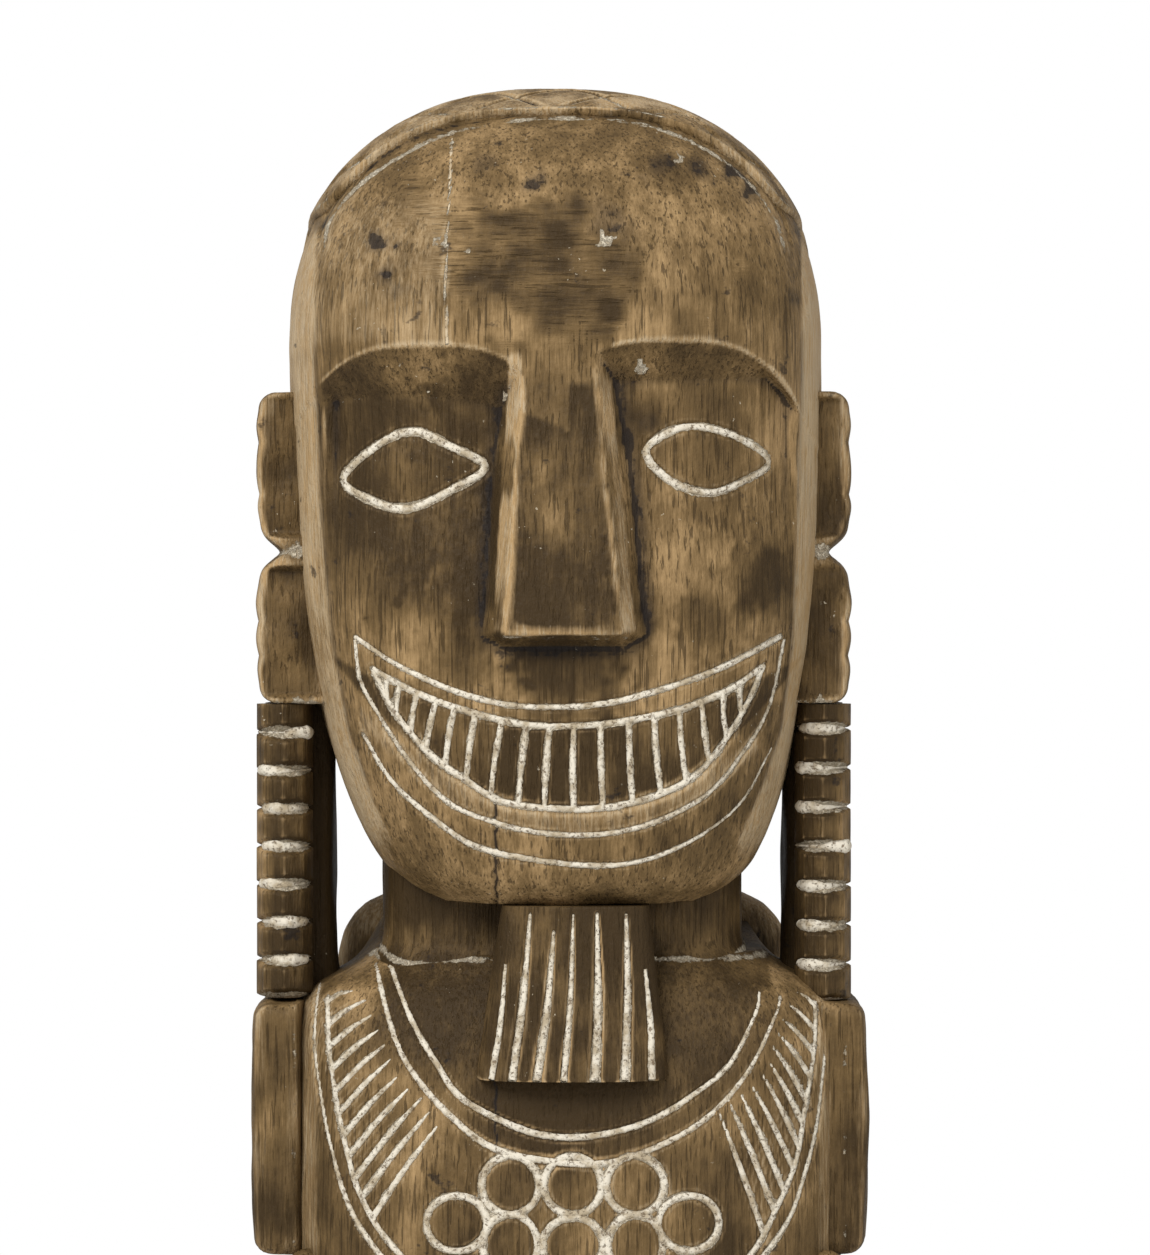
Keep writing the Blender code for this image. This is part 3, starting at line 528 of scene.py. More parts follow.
def build_grain_group() -> bpy.types.NodeTree:
    """Make the upright grain: tone, streaks, knots, marks of the tools and the height of it all."""
    tree, given, out = make_group(
        "upright grain",
        [("Seed", FLOAT, 0.0), ("Curl", FLOAT, 0.0)],
        [
            ("Tone", FLOAT), ("Streak", FLOAT), ("Fibre", FLOAT), ("Pore", FLOAT), ("Knot", FLOAT),
            ("Speck", FLOAT), ("Height", FLOAT)
        ],
    )
    where = tree.add("ShaderNodeTexCoord").outputs["Object"]
    shift = tree.add("ShaderNodeCombineXYZ")
    tree.link(given.outputs["Seed"], shift.inputs["Y"])
    place = tree.add("ShaderNodeVectorMath", operation="ADD")
    tree.link(where, place.inputs[0])
    tree.link(shift.outputs[0], place.inputs[1])
    where = place.outputs[0]
    broad = tree.noise(where, (13.0, 13.0, 9.0), 3.0, 0.55)
    patch = tree.noise(where, (48.0, 48.0, 30.0), 4.0, 0.65, 2.0)
    tree.link(tree.plus(tree.times(broad, 0.55), tree.times(patch, 0.45)), out.inputs["Tone"])
    upright = tree.noise(where, (230.0, 230.0, 10.0), 4.0, 0.65, 4.0)
    curly = tree.noise(where, (26.0, 60.0, 420.0), 3.0, 0.7, 9.0)
    streak = tree.blend(given.outputs["Curl"], upright, curly)
    tree.link(streak, out.inputs["Streak"])
    fibre_upright = tree.noise(where, (1000.0, 1000.0, 60.0), 3.0, 0.7, 5.0)
    fibre_curly = tree.noise(where, (110.0, 300.0, 1300.0), 3.0, 0.7, 6.0)
    fibre = tree.blend(given.outputs["Curl"], fibre_upright, fibre_curly)
    tree.link(fibre, out.inputs["Fibre"])
    knots = tree.noise(where, (58.0, 58.0, 70.0), 4.0, 0.7, 7.0)
    tree.link(tree.ramp(knots, 0.635, 0.71), out.inputs["Knot"])
    specks = tree.ramp(tree.noise(where, (480.0, 480.0, 480.0), 2.0, 0.6, 8.0), 0.70, 0.74)
    field_of_specks = tree.ramp(tree.noise(where, (30.0, 30.0, 30.0), 2.0, 0.5, 10.0), 0.54, 0.66)
    tree.link(tree.times(specks, field_of_specks), out.inputs["Speck"])
    pore_upright = tree.noise(where, (820.0, 820.0, 38.0), 2.0, 0.6, 12.0)
    pore_curly = tree.noise(where, (55.0, 200.0, 900.0), 3.0, 0.6, 13.0)
    pore = tree.ramp(tree.blend(given.outputs["Curl"], pore_upright, pore_curly), 0.57, 0.65)
    tree.link(pore, out.inputs["Pore"])
    strokes = tree.noise(where, (300.0, 300.0, 210.0), 3.0, 0.6, 11.0)
    height = tree.plus(tree.times(fibre, 0.60), tree.times(streak, 0.55))
    height = tree.plus(height, tree.times(strokes, 1.10))
    tree.link(tree.minus(height, tree.times(pore, 0.35)), out.inputs["Height"])
    return tree.tree


def build_lime_group() -> bpy.types.NodeTree:
    """Make the lime that clings round a cut: a broken mask, its pitted height and its tone."""
    tree, given, out = make_group(
        "clinging lime",
        [("Reach", FLOAT, 0.58)],
        [("Mask", FLOAT), ("Pits", FLOAT), ("Tone", FLOAT)],
    )
    where = tree.add("ShaderNodeTexCoord").outputs["Object"]
    near = tree.add("ShaderNodeAttribute", attribute_name="lime").outputs["Fac"]
    broken = tree.noise(where, (520.0, 520.0, 520.0), 4.0, 0.65, 1.0)
    patchy = tree.noise(where, (95.0, 95.0, 95.0), 2.0, 0.5, 3.0)
    edge = tree.plus(tree.times(tree.minus(broken, 0.5), 0.8), tree.times(tree.minus(patchy, 0.5), 0.9))
    reach = tree.plus(tree.plus(near, edge), tree.minus(given.outputs["Reach"], 1.0))
    tree.link(tree.ramp(reach, 0.18, 0.34), out.inputs["Mask"])
    pits = tree.noise(where, (700.0, 700.0, 700.0), 3.0, 0.6, 2.0)
    tree.link(tree.ramp(pits, 0.38, 0.60), out.inputs["Pits"])
    tree.link(tree.noise(where, (170.0, 170.0, 170.0), 3.0, 0.6, 8.0), out.inputs["Tone"])
    return tree.tree


def colour(red: float, green: float, blue: float) -> Colour:
    """Return a colour with full alpha."""
    return (red, green, blue, 1.0)


@dataclass(frozen=True)
class WoodFinish:
    """Stained hardwood: its tones from the lightest wear to the darkest recess, where painted shade is also
    laid, and a near-black for knots, grime and painted shade.
    """

    name: str
    light: Colour = colour(0.420, 0.275, 0.130)
    middle: Colour = colour(0.158, 0.099, 0.040)
    deep: Colour = colour(0.046, 0.028, 0.011)
    worn: Colour = colour(0.500, 0.385, 0.240)
    # Near-black for knots, grime and painted shade in hollows.
    soot_and_shade: Colour = colour(0.012, 0.010, 0.010)
    lime: Colour = colour(0.400, 0.325, 0.215)
    chalk: Colour = colour(0.690, 0.630, 0.510)
    wear_share: float = 0.9
    seed: float = 0.0

    def make(self, grain: bpy.types.NodeTree, lime: bpy.types.NodeTree) -> bpy.types.Material:
        """Build the material.

        Args:
            grain: The group of the upright grain.
            lime: The group of the clinging lime.
        """
        material = bpy.data.materials.new(self.name)
        material.use_nodes = True
        tree = Tree(material.node_tree)
        shader = material.node_tree.nodes["Principled BSDF"]
        mask = {
            name: tree.add("ShaderNodeAttribute", attribute_name=name).outputs["Fac"]
            for name in ("worn", "dirt_and_shade", "stain_and_shade", "curl")
        }
        wood = tree.add("ShaderNodeGroup", node_tree=grain)
        wood.inputs["Seed"].default_value = self.seed
        tree.link(mask["curl"], wood.inputs["Curl"])
        cling = tree.add("ShaderNodeGroup", node_tree=lime)
        streak = tree.minus(wood.outputs["Streak"], 0.5)
        fibre = tree.minus(wood.outputs["Fibre"], 0.5)
        # Painted shade: the stain mask darkens the tone; it holds the wood's staining, and also painted shade
        # on the brow's underside and on the chest under the chin.
        tone = tree.minus(wood.outputs["Tone"], tree.times(mask["stain_and_shade"], 0.25))
        tone = tree.plus(tone, tree.times(streak, 0.24))
        tone = tree.plus(tone, tree.times(fibre, 0.24))
        base = tree.mix(tree.ramp(tone, 0.24, 0.52), self.deep, self.middle)
        base = tree.mix(tree.ramp(tone, 0.43, 0.68), base, self.light)
        base = tree.mix(tree.times(wood.outputs["Pore"], 0.70), base, self.deep)
        rubbed = tree.plus(mask["worn"], tree.times(streak, 0.35))
        rubbed = tree.plus(rubbed, tree.times(fibre, 0.35))
        rubbed = tree.times(tree.ramp(rubbed, 0.12, 0.70), self.wear_share)
        worn = tree.mix(tree.ramp(tree.plus(tone, fibre), 0.30, 0.62), self.light, self.worn)
        base = tree.mix(rubbed, base, worn)
        base = tree.mix(tree.times(wood.outputs["Knot"], 0.70), base, self.soot_and_shade)
        # Painted shade: the dirt mask blends toward the near-black, as grime and as painted shade in hollows,
        # creases and under the cap's rim, ragged and sharper where it is strongest.
        dirt_and_shade = tree.plus(mask["dirt_and_shade"], tree.times(fibre, 0.4), clamp=True)
        base = tree.mix(tree.times(dirt_and_shade, 0.65), base, self.soot_and_shade)
        ragged = tree.plus(mask["dirt_and_shade"], tree.times(tree.minus(cling.outputs["Tone"], 0.5), 0.9))
        base = tree.mix(tree.times(tree.ramp(ragged, 0.64, 0.76), 0.70), base, self.soot_and_shade)
        pale = tree.mix(cling.outputs["Tone"], self.lime, self.chalk)
        pale = tree.mix(tree.times(tree.minus(1.0, cling.outputs["Pits"]), 0.45), pale, self.middle)
        limed = tree.math("MAXIMUM", cling.outputs["Mask"], tree.times(wood.outputs["Speck"], 0.85))
        tree.link(tree.mix(limed, base, pale), shader.inputs["Base Color"])
        gloss = tree.plus(0.40, tree.times(wood.outputs["Streak"], 0.24))
        gloss = tree.plus(gloss, tree.times(limed, 0.45), clamp=True)
        tree.link(gloss, shader.inputs["Roughness"])
        shader.inputs["Specular IOR Level"].default_value = 0.11
        crust = tree.times(cling.outputs["Mask"], tree.times(cling.outputs["Pits"], 1.2))
        bump = tree.add("ShaderNodeBump")
        bump.inputs["Strength"].default_value = 0.85
        bump.inputs["Distance"].default_value = 0.0010
        tree.link(tree.plus(wood.outputs["Height"], crust), bump.inputs["Height"])
        tree.link(bump.outputs[0], shader.inputs["Normal"])
        return material


@dataclass(frozen=True)
class LimeFinish:
    """Dried lime: chalky and pitted, with the stain rubbed into its pits."""

    name: str
    chalk: Colour = colour(0.700, 0.640, 0.525)
    cream: Colour = colour(0.410, 0.335, 0.225)
    grime: Colour = colour(0.190, 0.130, 0.075)

    def make(self) -> bpy.types.Material:
        """Build the material."""
        material = bpy.data.materials.new(self.name)
        material.use_nodes = True
        tree = Tree(material.node_tree)
        shader = material.node_tree.nodes["Principled BSDF"]
        where = tree.add("ShaderNodeTexCoord").outputs["Object"]
        tone = tree.noise(where, (150.0, 150.0, 150.0), 4.0, 0.6, 1.0)
        base = tree.mix(tree.ramp(tone, 0.35, 0.60), self.cream, self.chalk)
        pits = tree.noise(where, (620.0, 620.0, 620.0), 3.0, 0.65, 4.0)
        base = tree.mix(tree.times(tree.ramp(pits, 0.55, 0.66), 0.85), base, self.grime)
        tree.link(base, shader.inputs["Base Color"])
        shader.inputs["Roughness"].default_value = 0.9
        bump = tree.add("ShaderNodeBump")
        bump.inputs["Strength"].default_value = 0.7
        bump.inputs["Distance"].default_value = 0.0008
        tree.link(tree.minus(1.0, tree.ramp(pits, 0.50, 0.72)), bump.inputs["Height"])
        tree.link(bump.outputs[0], shader.inputs["Normal"])
        return material


@dataclass
class Finishes:
    """All the finishes of the figure, each built once."""

    wood: bpy.types.Material
    dark: bpy.types.Material
    pale: bpy.types.Material
    lime: bpy.types.Material
    putty: bpy.types.Material

    @classmethod
    def build(cls) -> "Finishes":
        """Build the shared groups and every finish."""
        grain, lime = build_grain_group(), build_lime_group()
        dark = WoodFinish(
            "dark wood", light=colour(0.110, 0.074, 0.040), middle=colour(0.055, 0.037, 0.021),
            wear_share=0.5, seed=3.0
        )
        pale = WoodFinish(
            "worn wood", light=colour(0.320, 0.215, 0.112), middle=colour(0.200, 0.128, 0.062),
            deep=colour(0.080, 0.052, 0.027), seed=5.0
        )
        putty = LimeFinish(
            "forehead putty", chalk=colour(0.560, 0.450, 0.300), cream=colour(0.400, 0.300, 0.180)
        )
        return cls(
            WoodFinish("stained wood").make(grain, lime), dark.make(grain, lime), pale.make(grain, lime),
            LimeFinish("dried lime").make(), putty.make()
        )


# ---- Geometry node trees ----


def start_geometry_tree(name: str, inputs: Inputs) -> tuple[
    Tree, bpy.types.Node, bpy.types.Node, dict[str, str]
]:
    """Start a geometry node tree.

    Args:
        name: The tree's name.
        inputs: Name, socket type and default of each input after the geometry.

    Returns:
        The tree, its input node, its output node, and each input's identifier by name.
    """
    group = bpy.data.node_groups.new(name, "GeometryNodeTree")
    group.interface.new_socket(name="Geometry", in_out="INPUT", socket_type="NodeSocketGeometry")
    names: dict[str, str] = {}
    for label, kind, default in inputs:
        socket = group.interface.new_socket(name=label, in_out="INPUT", socket_type=kind)
        if default is not None:
            socket.default_value = default
        names[label] = socket.identifier
    group.interface.new_socket(name="Geometry", in_out="OUTPUT", socket_type="NodeSocketGeometry")
    tree = Tree(group)
    return tree, tree.add("NodeGroupInput"), tree.add("NodeGroupOutput"), names


def build_bead_tree() -> GrowTree:
    """Make the tree that lays a lumpy bead of lime along a path."""
    tree, given, out, names = start_geometry_tree(
        "lime bead",
        [("Lump", FLOAT, 0.0005), ("Lump size", FLOAT, 0.003), ("Material", MATERIAL, None)],
    )
    curve = tree.add("GeometryNodeMeshToCurve")
    tree.link(given.outputs["Geometry"], curve.inputs[0])
    radius = tree.add("GeometryNodeInputNamedAttribute", data_type="FLOAT")
    radius.inputs["Name"].default_value = "bead"
    sized = tree.add("GeometryNodeSetCurveRadius")
    tree.link(curve.outputs[0], sized.inputs["Curve"])
    tree.link(radius.outputs[0], sized.inputs["Radius"])
    section = tree.add("GeometryNodeCurvePrimitiveCircle")
    section.inputs["Resolution"].default_value = 10
    section.inputs["Radius"].default_value = 1.0
    tube = tree.add("GeometryNodeCurveToMesh")
    tree.link(sized.outputs[0], tube.inputs["Curve"])
    tree.link(section.outputs[0], tube.inputs["Profile Curve"])
    tube.inputs["Fill Caps"].default_value = True
    if "Scale" in tube.inputs:
        tree.link(radius.outputs[0], tube.inputs["Scale"])
    lumps = tree.add("ShaderNodeTexNoise", noise_dimensions="3D")
    tree.link(tree.math("DIVIDE", 1.0, given.outputs["Lump size"]), lumps.inputs["Scale"])
    amount = tree.times(tree.minus(lumps.outputs[0], 0.5), given.outputs["Lump"])
    offset = tree.add("ShaderNodeVectorMath", operation="SCALE")
    tree.link(tree.add("GeometryNodeInputNormal").outputs[0], offset.inputs[0])
    tree.link(tree.times(amount, 2.0), offset.inputs["Scale"])
    moved = tree.add("GeometryNodeSetPosition")
    tree.link(tube.outputs[0], moved.inputs["Geometry"])
    tree.link(offset.outputs[0], moved.inputs["Offset"])
    smooth = tree.add("GeometryNodeSetShadeSmooth")
    tree.link(moved.outputs[0], smooth.inputs[0])
    real = tree.add("GeometryNodeRealizeInstances")
    tree.link(smooth.outputs[0], real.inputs[0])
    dressed = tree.add("GeometryNodeSetMaterial")
    tree.link(real.outputs[0], dressed.inputs["Geometry"])
    tree.link(given.outputs["Material"], dressed.inputs["Material"])
    tree.link(dressed.outputs[0], out.inputs[0])
    return tree.tree, names


def build_stack_tree() -> GrowTree:
    """Make the tree that stacks copies of a shape downward, each turned and sized a little apart."""
    tree, given, out, names = start_geometry_tree(
        "hand-cut stack",
        [
            ("Count", INTEGER, 7),
            ("Start", VECTOR, (0.0, 0.0, 0.0)),
            ("Pitch", VECTOR, (0.0, 0.0, -0.016)),
            ("Turn", FLOAT, 0.03),
            ("Uneven", FLOAT, 0.03),
            ("Seed", INTEGER, 1),
            ("Material", MATERIAL, None),
        ],
    )
    line = tree.add("GeometryNodeMeshLine", mode="OFFSET")
    tree.link(given.outputs["Count"], line.inputs["Count"])
    tree.link(given.outputs["Start"], line.inputs["Start Location"])
    tree.link(given.outputs["Pitch"], line.inputs["Offset"])
    copies = tree.add("GeometryNodeInstanceOnPoints")
    tree.link(line.outputs[0], copies.inputs["Points"])
    tree.link(given.outputs["Geometry"], copies.inputs["Instance"])
    turn = tree.add("FunctionNodeRandomValue", data_type="FLOAT")
    tree.link(tree.times(given.outputs["Turn"], -1.0), turn.inputs[2])
    tree.link(given.outputs["Turn"], turn.inputs[3])
    tree.link(given.outputs["Seed"], turn.inputs["Seed"])
    angle = tree.add("ShaderNodeCombineXYZ")
    tree.link(turn.outputs[1], angle.inputs["Z"])
    tree.link(angle.outputs[0], copies.inputs["Rotation"])
    size = tree.add("FunctionNodeRandomValue", data_type="FLOAT")
    tree.link(tree.minus(1.0, given.outputs["Uneven"]), size.inputs[2])
    size.inputs[3].default_value = 1.0
    tree.link(given.outputs["Seed"], size.inputs["Seed"])
    tree.link(size.outputs[1], copies.inputs["Scale"])
    real = tree.add("GeometryNodeRealizeInstances")
    tree.link(copies.outputs[0], real.inputs[0])
    dressed = tree.add("GeometryNodeSetMaterial")
    tree.link(real.outputs[0], dressed.inputs["Geometry"])
    tree.link(given.outputs["Material"], dressed.inputs["Material"])
    tree.link(dressed.outputs[0], out.inputs[0])
    return tree.tree, names


def grown(mesh: bpy.types.Mesh, tree: GrowTree, **values: object) -> bpy.types.Mesh:
    """Run a geometry node tree on a mesh and return the plain result.

    Args:
        mesh: What the tree starts from.
        tree: The tree and its inputs' identifiers.
        values: The inputs, by name with _ for a space.
    """
    holder = bpy.data.objects.new("holder", mesh)
    bpy.context.scene.collection.objects.link(holder)
    modifier = holder.modifiers.new("grow", "NODES")
    modifier.node_group = tree[0]
    for label, value in values.items():
        modifier[tree[1][label.replace("_", " ")]] = value
    bpy.context.view_layer.update()
    evaluated = holder.evaluated_get(bpy.context.evaluated_depsgraph_get())
    result = bpy.data.meshes.new_from_object(
        evaluated, preserve_all_data_layers=True, depsgraph=bpy.context.evaluated_depsgraph_get()
    )
    bpy.data.objects.remove(holder)
    return result


@dataclass
class Workshop:
    """What every part of the figure is made with: the finishes and the geometry trees."""

    finishes: Finishes
    bead: GrowTree
    stack: GrowTree

    def lime(
        self, name: str, cuts: list[Cut], nodes: list[str], fullness: float = 0.92,
        material: bpy.types.Material | None = None, slot: Slot = Slot.LIME
    ) -> None:
        """Lay lime in cuts.

        Args:
            name: The piece's name.
            cuts: The cuts that it fills.
            nodes: The solids that it replaces.
            fullness: The bead's radius as a share of the cut's half-width.
            material: Another finish than lime.
            slot: The record's finish for it; not used.
        """
        places, beads, edges = [], [], []
        for cut in cuts:
            radius = cut.half_width * fullness
            sunk = cut.places - cut.outward * (radius + 0.0001)[:, None]
            first = sum(len(p) for p in places)
            places.append(sunk)
            beads.append(radius)
            run = np.arange(first, first + len(sunk))
            edges.append(np.stack([run[:-1], run[1:]], axis=1))
        mesh = bpy.data.meshes.new(name)
        mesh.from_pydata(np.vstack(places).tolist(), np.vstack(edges).tolist(), [])
        attribute = mesh.attributes.new("bead", "FLOAT", "POINT")
        attribute.data.foreach_set("value", np.concatenate(beads).astype(np.float32))
        material = material or self.finishes.lime
        add_piece(
            name, grown(mesh, self.bead, Lump=0.0006, Lump_size=0.0022, Material=material), material,
            nodes
        )

    def wood(
        self, name: str, skin: Skin, nodes: list[str], material: bpy.types.Material | None = None,
        slot: Slot = Slot.STAINED, wear: float = 1.0
    ) -> None:
        """Dress a skin as wood and put it in the scene.

        Args:
            name: The piece's name.
            skin: Its surface.
            nodes: The solids that it replaces.
            material: Another finish than the stained wood.
            slot: The record's finish for it; not used.
            wear: How strongly its edges are rubbed light.
        """
        skin.weather(wear)
        add_piece(name, skin.mesh(name), material or self.finishes.wood, nodes)


def end_levels(foot: float, top: float, count: int, insets: tuple[float, float]) -> Array:
    """Return the heights of a skin's rings, with a close pair at each end that keeps the edge crisp.

    Args:
        foot: The lowest height.
        top: The highest height.
        count: How many rings lie between the pairs.
        insets: How far from foot and top the rings between them start and end.
    """
    close = 0.0002
    between = np.linspace(foot + insets[0], top - insets[1], count)
    return np.concatenate([[foot, foot + close], between, [top - close, top]])


def turns(fine: int, coarse: int) -> Array:
    """Return directions round a column, closer together on the front half than on the back."""
    back = np.linspace(0.0, math.pi, coarse, endpoint=False)
    return np.concatenate([back, np.linspace(math.pi, math.tau, fine, endpoint=False)])


# ---- The parts of the figure ----


@dataclass
class Head:
    """The egg-shaped head with its carved face."""

    shop: Workshop
    crown: float = 0.9972
    dome_centre: float = 0.890
    dome_exponent: float = 2.3
    half_width: float = 0.110
    depth_front: float = 0.104
    depth_back: float = 0.095
    cheek_depth: float = 0.0095
    cheek_foot: float = 0.772
    rim: float = 0.0950
    dark_places: Rows = (
        (-0.036, 0.862, 0.017, 0.75),
        (-0.025, 0.836, 0.012, 0.55),
        (-0.062, 0.815, 0.016, 0.30),
        (-0.033, 0.795, 0.016, 0.50),
        (0.004, 0.764, 0.026, 0.70),
        (-0.040, 0.765, 0.018, 0.50),
        (0.082, 0.796, 0.014, 0.55),
        (0.060, 0.776, 0.014, 0.40),
        (0.030, 0.862, 0.009, 0.40),
        (0.003, 0.835, 0.012, 0.25),
        (-0.002, 0.796, 0.014, 0.35),
        (0.050, 0.958, 0.014, 0.45),
        (-0.052, 0.726, 0.010, 0.40),
        (0.078, 0.742, 0.010, 0.55),
    )
    knots: Rows = (
        (-0.0730, 0.9300, 0.0046, 0.95),
        (-0.0680, 0.9170, 0.0040, 0.90),
        (-0.0290, 0.9630, 0.0050, 0.60),
        (-0.0100, 0.9530, 0.0046, 0.90),
        (0.0210, 0.9390, 0.0070, 0.60),
        (0.0420, 0.9630, 0.0056, 0.70),
        (0.0560, 0.9620, 0.0046, 0.80),
        (0.0700, 0.9600, 0.0042, 0.90),
        (0.0770, 0.9520, 0.0046, 0.85),
        (-0.0960, 0.9400, 0.0030, 0.70),
        (0.0360, 0.8580, 0.0046, 0.60),
        (0.0270, 0.8510, 0.0040, 0.50),
        (0.0960, 0.9090, 0.0030, 0.60),
    )
    specks: Rows = (
        (0.0175, 0.9280, 0.0022, 0.95),
        (0.0220, 0.9310, 0.0013, 0.80),
        (-0.0360, 0.9265, 0.0018, 0.85),
        (-0.0480, 0.9290, 0.0022, 0.75),
        (0.0500, 0.9660, 0.0018, 0.85),
        (0.0330, 0.8790, 0.0016, 0.80),
        (-0.0210, 0.8690, 0.0016, 0.75),
    )
    jaw: Rows = (
        (0.6655, 0.0045, 0.0560, 0.0820, 0.010),
        (0.6720, 0.0040, 0.0680, 0.0900, 0.024),
        (0.6820, 0.0035, 0.0775, 0.0935, 0.036),
        (0.7050, 0.0025, 0.0885, 0.0965, 0.058),
        (0.7350, 0.0010, 0.0970, 0.0980, 0.080),
        (0.7700, 0.0004, 0.1040, 0.0980, 0.092),
        (0.8150, 0.0000, 0.1085, 0.1000, 0.095),
    )
    teeth: Rows = (
        (-0.0690, 0.0005), (-0.0635, -0.0015), (-0.0565, -0.0025), (-0.0490, -0.0040), (-0.0415, -0.0038),
        (-0.0330, -0.0038), (-0.0225, -0.0045), (-0.0125, -0.0035), (-0.0035, -0.0020), (0.0062, 0.0),
        (0.0170, 0.0010), (0.0280, 0.0018), (0.0382, 0.0028), (0.0482, 0.0030), (0.0575, 0.0028),
        (0.0660, 0.0016), (0.0730, 0.0006),
    )

    def __post_init__(self) -> None:
        """Work out the column of the head."""
        lift = np.sin(DOME_LIFT * np.linspace(0.0, 1.0, 25))
        size = (1.0 - lift**self.dome_exponent) ** (1.0 / self.dome_exponent)
        dome = [
            (
                self.dome_centre + (self.crown - self.dome_centre) * up, -0.0015, self.half_width * s,
                self.depth_front * s, self.depth_back * s
            )
            for up, s in zip(lift, size)
        ]
        self.column = Column(self.jaw + tuple(dome))
        self.dome_levels = np.array([row[0] for row in dome])

    def brow(self, x: Array) -> tuple[Array, Array]:
        """Return the height of the brow's upper edge and of its foot."""
        right = x < 0.004
        arch = np.where(
            right, 0.8888 - 0.0160 * np.abs((x + 0.053) / 0.045) ** 3,
            0.8908 - 0.0150 * np.abs((x - 0.046) / 0.043) ** 3
        )
        foot = np.where(
            right, 0.8685 - 0.0025 * ((x + 0.065) / 0.03) ** 2, 0.8750 + 0.0015 * (x - 0.05) / 0.04
        )
        return arch, np.minimum(foot, arch - 0.004)

    def face(self, x: Array, z: Array) -> Array:
        """Return y on the carved face: the rounded head, cut back under the brow, with the nose on it."""
        base = self.column.front(x, z)
        arch, foot = self.brow(x)
        under = np.clip((arch - z) / (arch - foot), 0.0, 1.0)
        fade = ease(z, self.cheek_foot, 0.850)
        side = 1.0 - 0.75 * ease(np.abs(x - 0.001), self.rim - 0.006, self.rim + 0.002)
        y = base + self.cheek_depth * under * fade * side
        for centre_x, centre_z, tilt in ((-0.0580, 0.8395, 0.10), (0.0600, 0.8440, -0.02)):
            u = (x - centre_x) / 0.0270
            v = (z - centre_z - tilt * (x - centre_x)) / 0.0140
            y = y - 0.0016 * np.clip(1.0 - u * u - v * v, 0.0, 1.0)
        down = np.clip((0.880 - z) / 0.104, 0.0, 1.0)
        left_edge, right_edge = 0.0154 + 0.0104 * down, -0.0142 - 0.0067 * down
        front = -0.1025 - 0.0105 * np.clip((0.890 - z) / 0.116, 0.0, 1.0)
        outside = np.maximum(np.maximum(x - left_edge, right_edge - x), 0.0)
        nose = front + outside * 1.75 + np.maximum(0.7735 - z, 0.0) * 3.2 + np.maximum(z - 0.884, 0.0) * 1.0
        return soft_min(y, nose, 0.0012)

    def inner_mouth(self) -> tuple[Array, Array]:
        """Return the upper and the lower line round the teeth, each from the right corner to the left one."""
        corners = [(-0.0747, 0.7597), (0.0832, 0.7612)]
        upper = smooth_path([
            corners[0], (-0.0584, 0.7512), (-0.0394, 0.7440), (-0.0144, 0.7381), (0.0075, 0.7373),
            (0.0297, 0.7397), (0.0515, 0.7448), (0.0694, 0.7520), corners[1]
        ])
        lower = smooth_path([
            corners[0], (-0.0660, 0.7432), (-0.0513, 0.7258), (-0.0366, 0.7155), (-0.0219, 0.7071),
            (0.0003, 0.7043), (0.0222, 0.7051), (0.0444, 0.7115), (0.0591, 0.7214), (0.0738, 0.7417),
            corners[1]
        ])
        return upper, lower

    def tooth_paths(self) -> list[Array]:
        """Return the lines between the teeth."""
        upper, lower = self.inner_mouth()
        paths = []
        for x, lean in self.teeth:
            top = (x, float(np.interp(x, upper[:, 0], upper[:, 1])))
            foot = (x + lean, float(np.interp(x + lean, lower[:, 0], lower[:, 1])))
            middle = ((top[0] + foot[0]) / 2 - 0.0004, (top[1] + foot[1]) / 2)
            paths.append(smooth_path([top, middle, foot]))
        return paths

    def cut(self, path: Array, half_width: float, **more: object) -> Cut:
        """Lay a cut on the face."""
        return Cut.on(self.face, path, half_width, **more)

    def lines(self) -> dict[str, list[Cut]]:
        """Return the cuts of the face by the solid that fills them."""
        upper, lower = self.inner_mouth()
        lip_top = smooth_path([
            (-0.0820, 0.7726), (-0.0660, 0.7623), (-0.0438, 0.7520), (-0.0219, 0.7460), (0.0003, 0.7448),
            (0.0222, 0.7468), (0.0444, 0.7528), (0.0663, 0.7607), (0.0900, 0.7728)
        ])
        lip_foot = smooth_path([
            (-0.0820, 0.7714), (-0.0800, 0.7555), (-0.0732, 0.7432), (-0.0585, 0.7214), (-0.0438, 0.7066),
            (-0.0263, 0.6991), (-0.0072, 0.6947), (0.0150, 0.6939), (0.0369, 0.6983), (0.0591, 0.7094),
            (0.0739, 0.7257), (0.0850, 0.7440), (0.0915, 0.7714)
        ])
        chin = smooth_path([
            (-0.0786, 0.7328), (-0.0662, 0.7137), (-0.0439, 0.6953), (-0.0292, 0.6878), (-0.0073, 0.6834),
            (0.0150, 0.6814), (0.0298, 0.6826), (0.0445, 0.6870), (0.0593, 0.6946), (0.0740, 0.7065),
            (0.0863, 0.7276)
        ])
        right_eye = smooth_path([
            (-0.0870, 0.8358), (-0.0751, 0.8480), (-0.0587, 0.8547), (-0.0432, 0.8488), (-0.0292, 0.8405),
            (-0.0430, 0.8310), (-0.0603, 0.8240), (-0.0751, 0.8274)
        ], closed=True)
        left_eye = smooth_path([
            (0.0350, 0.8464), (0.0446, 0.8545), (0.0565, 0.8567), (0.0725, 0.8524), (0.0852, 0.8434),
            (0.0745, 0.8350), (0.0601, 0.8302), (0.0446, 0.8350)
        ], closed=True)
        check = smooth_path([(-0.0441, 0.8890), (-0.0446, 0.9150), (-0.0436, 0.9450), (-0.0430, 0.9740)])
